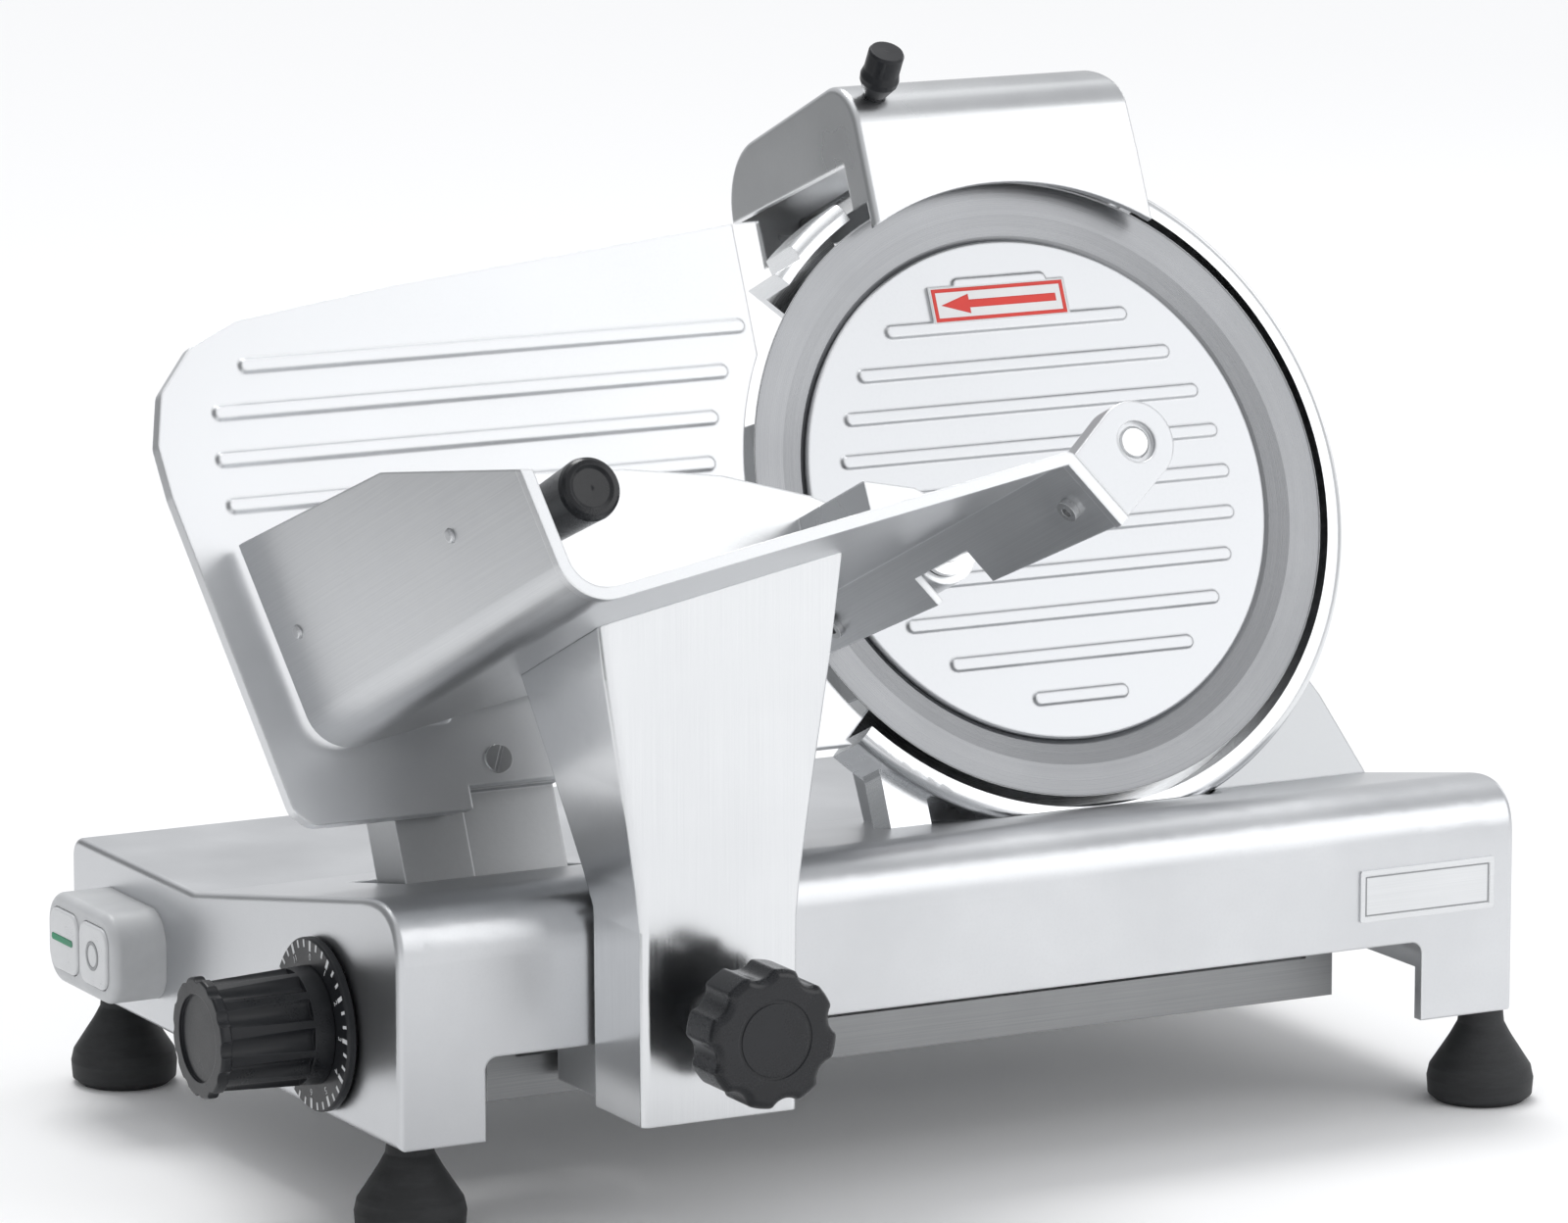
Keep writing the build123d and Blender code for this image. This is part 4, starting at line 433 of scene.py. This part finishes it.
bm = bmesh.new()
prism(bm, [(-30.2, -7.2), (30.2, -7.2), (30.2, 7.2), (-30.2, 7.2)], pad, 0.06)
piece("arrow_label", done(bm, "arrow_label"), "label", "base")
bm = bmesh.new()
for lo, hi in (((-29.6, -6.7), (29.6, -5.2)), ((-29.6, 5.2), (29.6, 6.7)), ((-29.6, -5.2), (-28.0, 5.2)),
               ((28.0, -5.2), (29.6, 5.2))):
    prism(bm, [(lo[0], lo[1]), (hi[0], lo[1]), (hi[0], hi[1]), (lo[0], hi[1])], lambda a, b, h: pad(a, b, 0.06 + h), 0.06)
prism(bm, [(-26.2, 0.0), (-13.5, -4.0), (-13.5, -1.6), (25.6, -1.6), (25.6, 1.6), (-13.5, 1.6), (-13.5, 4.0)],
      lambda a, b, h: pad(a, b, 0.06 + h), 0.06)
piece("arrow_print", done(bm, "arrow_print"), "red", "base")

# thin dark line round the blank plate, painted shade along its embossed frame (its face is 1.02 mm in front of the
# base)
bm = bmesh.new()


def plate_face(a, b, h):
    return in_base(441.6 + a, -0.70 - h, 89.2 + b)


for lo, hi in (((-28.2, -7.9), (28.2, -7.3)), ((-28.2, 7.3), (28.2, 7.9)), ((-28.2, -7.3), (-27.6, 7.3)),
               ((27.6, -7.3), (28.2, 7.3))):
    prism(bm, [(lo[0], lo[1]), (hi[0], lo[1]), (hi[0], hi[1]), (lo[0], hi[1])], plate_face, 0.05)
piece("plate_frame_shade_line", done(bm, "plate_frame_shade_line"), "ring_mark", "base")

# ------------------------------------------------------------------ stage and light
fl = bpy.data.meshes.new("floor")
fl.from_pydata([(-14, -8, 0), (14, -8, 0), (14, 26, 0), (-14, 26, 0)], [], [(0, 1, 2, 3)])
floor = bpy.data.objects.new("floor", fl)
bpy.context.scene.collection.objects.link(floor)
ft = Tree("floor_paper")
ft.out((0.93, 0.93, 0.93), 0.9, ft.bump(ft.noise(ft.coord(), 300.0, 2.0), 0.02, 0.0003), Metallic=0.0,
       Specular_IOR_Level=0.1)
fl.materials.append(ft.m)


def softbox(name, loc, target, w, h, watts, col=(1, 1, 1)):
    li = bpy.data.lights.new(name, "AREA")
    li.shape = "RECTANGLE"
    li.size, li.size_y = w, h
    li.energy = watts
    li.color = col
    o = bpy.data.objects.new(name, li)
    bpy.context.scene.collection.objects.link(o)
    o.location = loc
    o.rotation_euler = (Vector(target) - Vector(loc)).to_track_quat("-Z", "Y").to_euler()
    return o


C0 = (0, 0, 0.15)
softbox("top", (0.1, 0.25, 2.4), C0, 2.2, 2.0, 8)
softbox("front_right", (1.7, -2.1, 1.35), C0, 2.2, 2.0, 18)
softbox("right_rim", (2.4, 0.9, 1.0), C0, 1.2, 1.4, 5)
sun = bpy.data.lights.new("sun", "SUN")
sun.energy = 1.2
sun.angle = math.radians(25)
so = bpy.data.objects.new("sun", sun)
bpy.context.scene.collection.objects.link(so)
so.rotation_euler = Vector((0.12, 0.5, 1.0)).to_track_quat("Z", "Y").to_euler()

# a grey card beside the left end, which only shows in the metal
cd = bpy.data.meshes.new("grey_card")
cd.from_pydata([(-0.62, -0.25, 0.0), (-0.62, 2.8, 0.0), (-0.62, 2.8, 0.85), (-0.62, -0.25, 0.85)], [], [(0, 1, 2, 3)])
card = bpy.data.objects.new("grey_card", cd)
bpy.context.scene.collection.objects.link(card)
ct = Tree("card_grey")
ct.out(ct.mix(ct.span(ct.noise(ct.coord(), 3.0, 2.0), 0.0, 1.0, 0.3, 0.7), (0.0, 0.0, 0.0), (0.01, 0.01, 0.01)), 1.0, None,
       Metallic=0.0, Specular_IOR_Level=0.0, Emission_Strength=1.0)
ct.b.inputs["Emission Color"].default_value = (0.27, 0.275, 0.28, 1)
cd.materials.append(ct.m)
for flag in ("visible_camera", "visible_diffuse", "visible_shadow", "visible_transmission"):
    setattr(card, flag, False)

world = bpy.data.worlds.new("studio")
bpy.context.scene.world = world
world.use_nodes = True
bg = world.node_tree.nodes["Background"]
bg.inputs["Color"].default_value = (0.97, 0.98, 1.0, 1)
bg.inputs["Strength"].default_value = 0.68

# --------------------------------------------------------------------------- camera
cam_d = bpy.data.cameras.new("camera")
cam = bpy.data.objects.new("camera", cam_d)
bpy.context.scene.collection.objects.link(cam)
BACK = Vector((-0.4609, -0.8676, 0.1867)).normalized()
TARGET = in_base(212.14, 100.0, 202.69)
right = Vector((0, 0, 1)).cross(BACK).normalized()
up = BACK.cross(right)
mw = Matrix((right, up, BACK)).transposed().to_4x4()
mw.translation = TARGET + BACK * 3.2236
cam.matrix_world = mw
cam_d.sensor_width = 36.0
cam_d.lens = 192.9
cam_d.clip_end = 100
bpy.context.scene.camera = cam

vs = bpy.context.scene.view_settings
vs.view_transform = "Standard"
vs.look = "None"
vs.exposure = 0.0
vs.gamma = 1.0
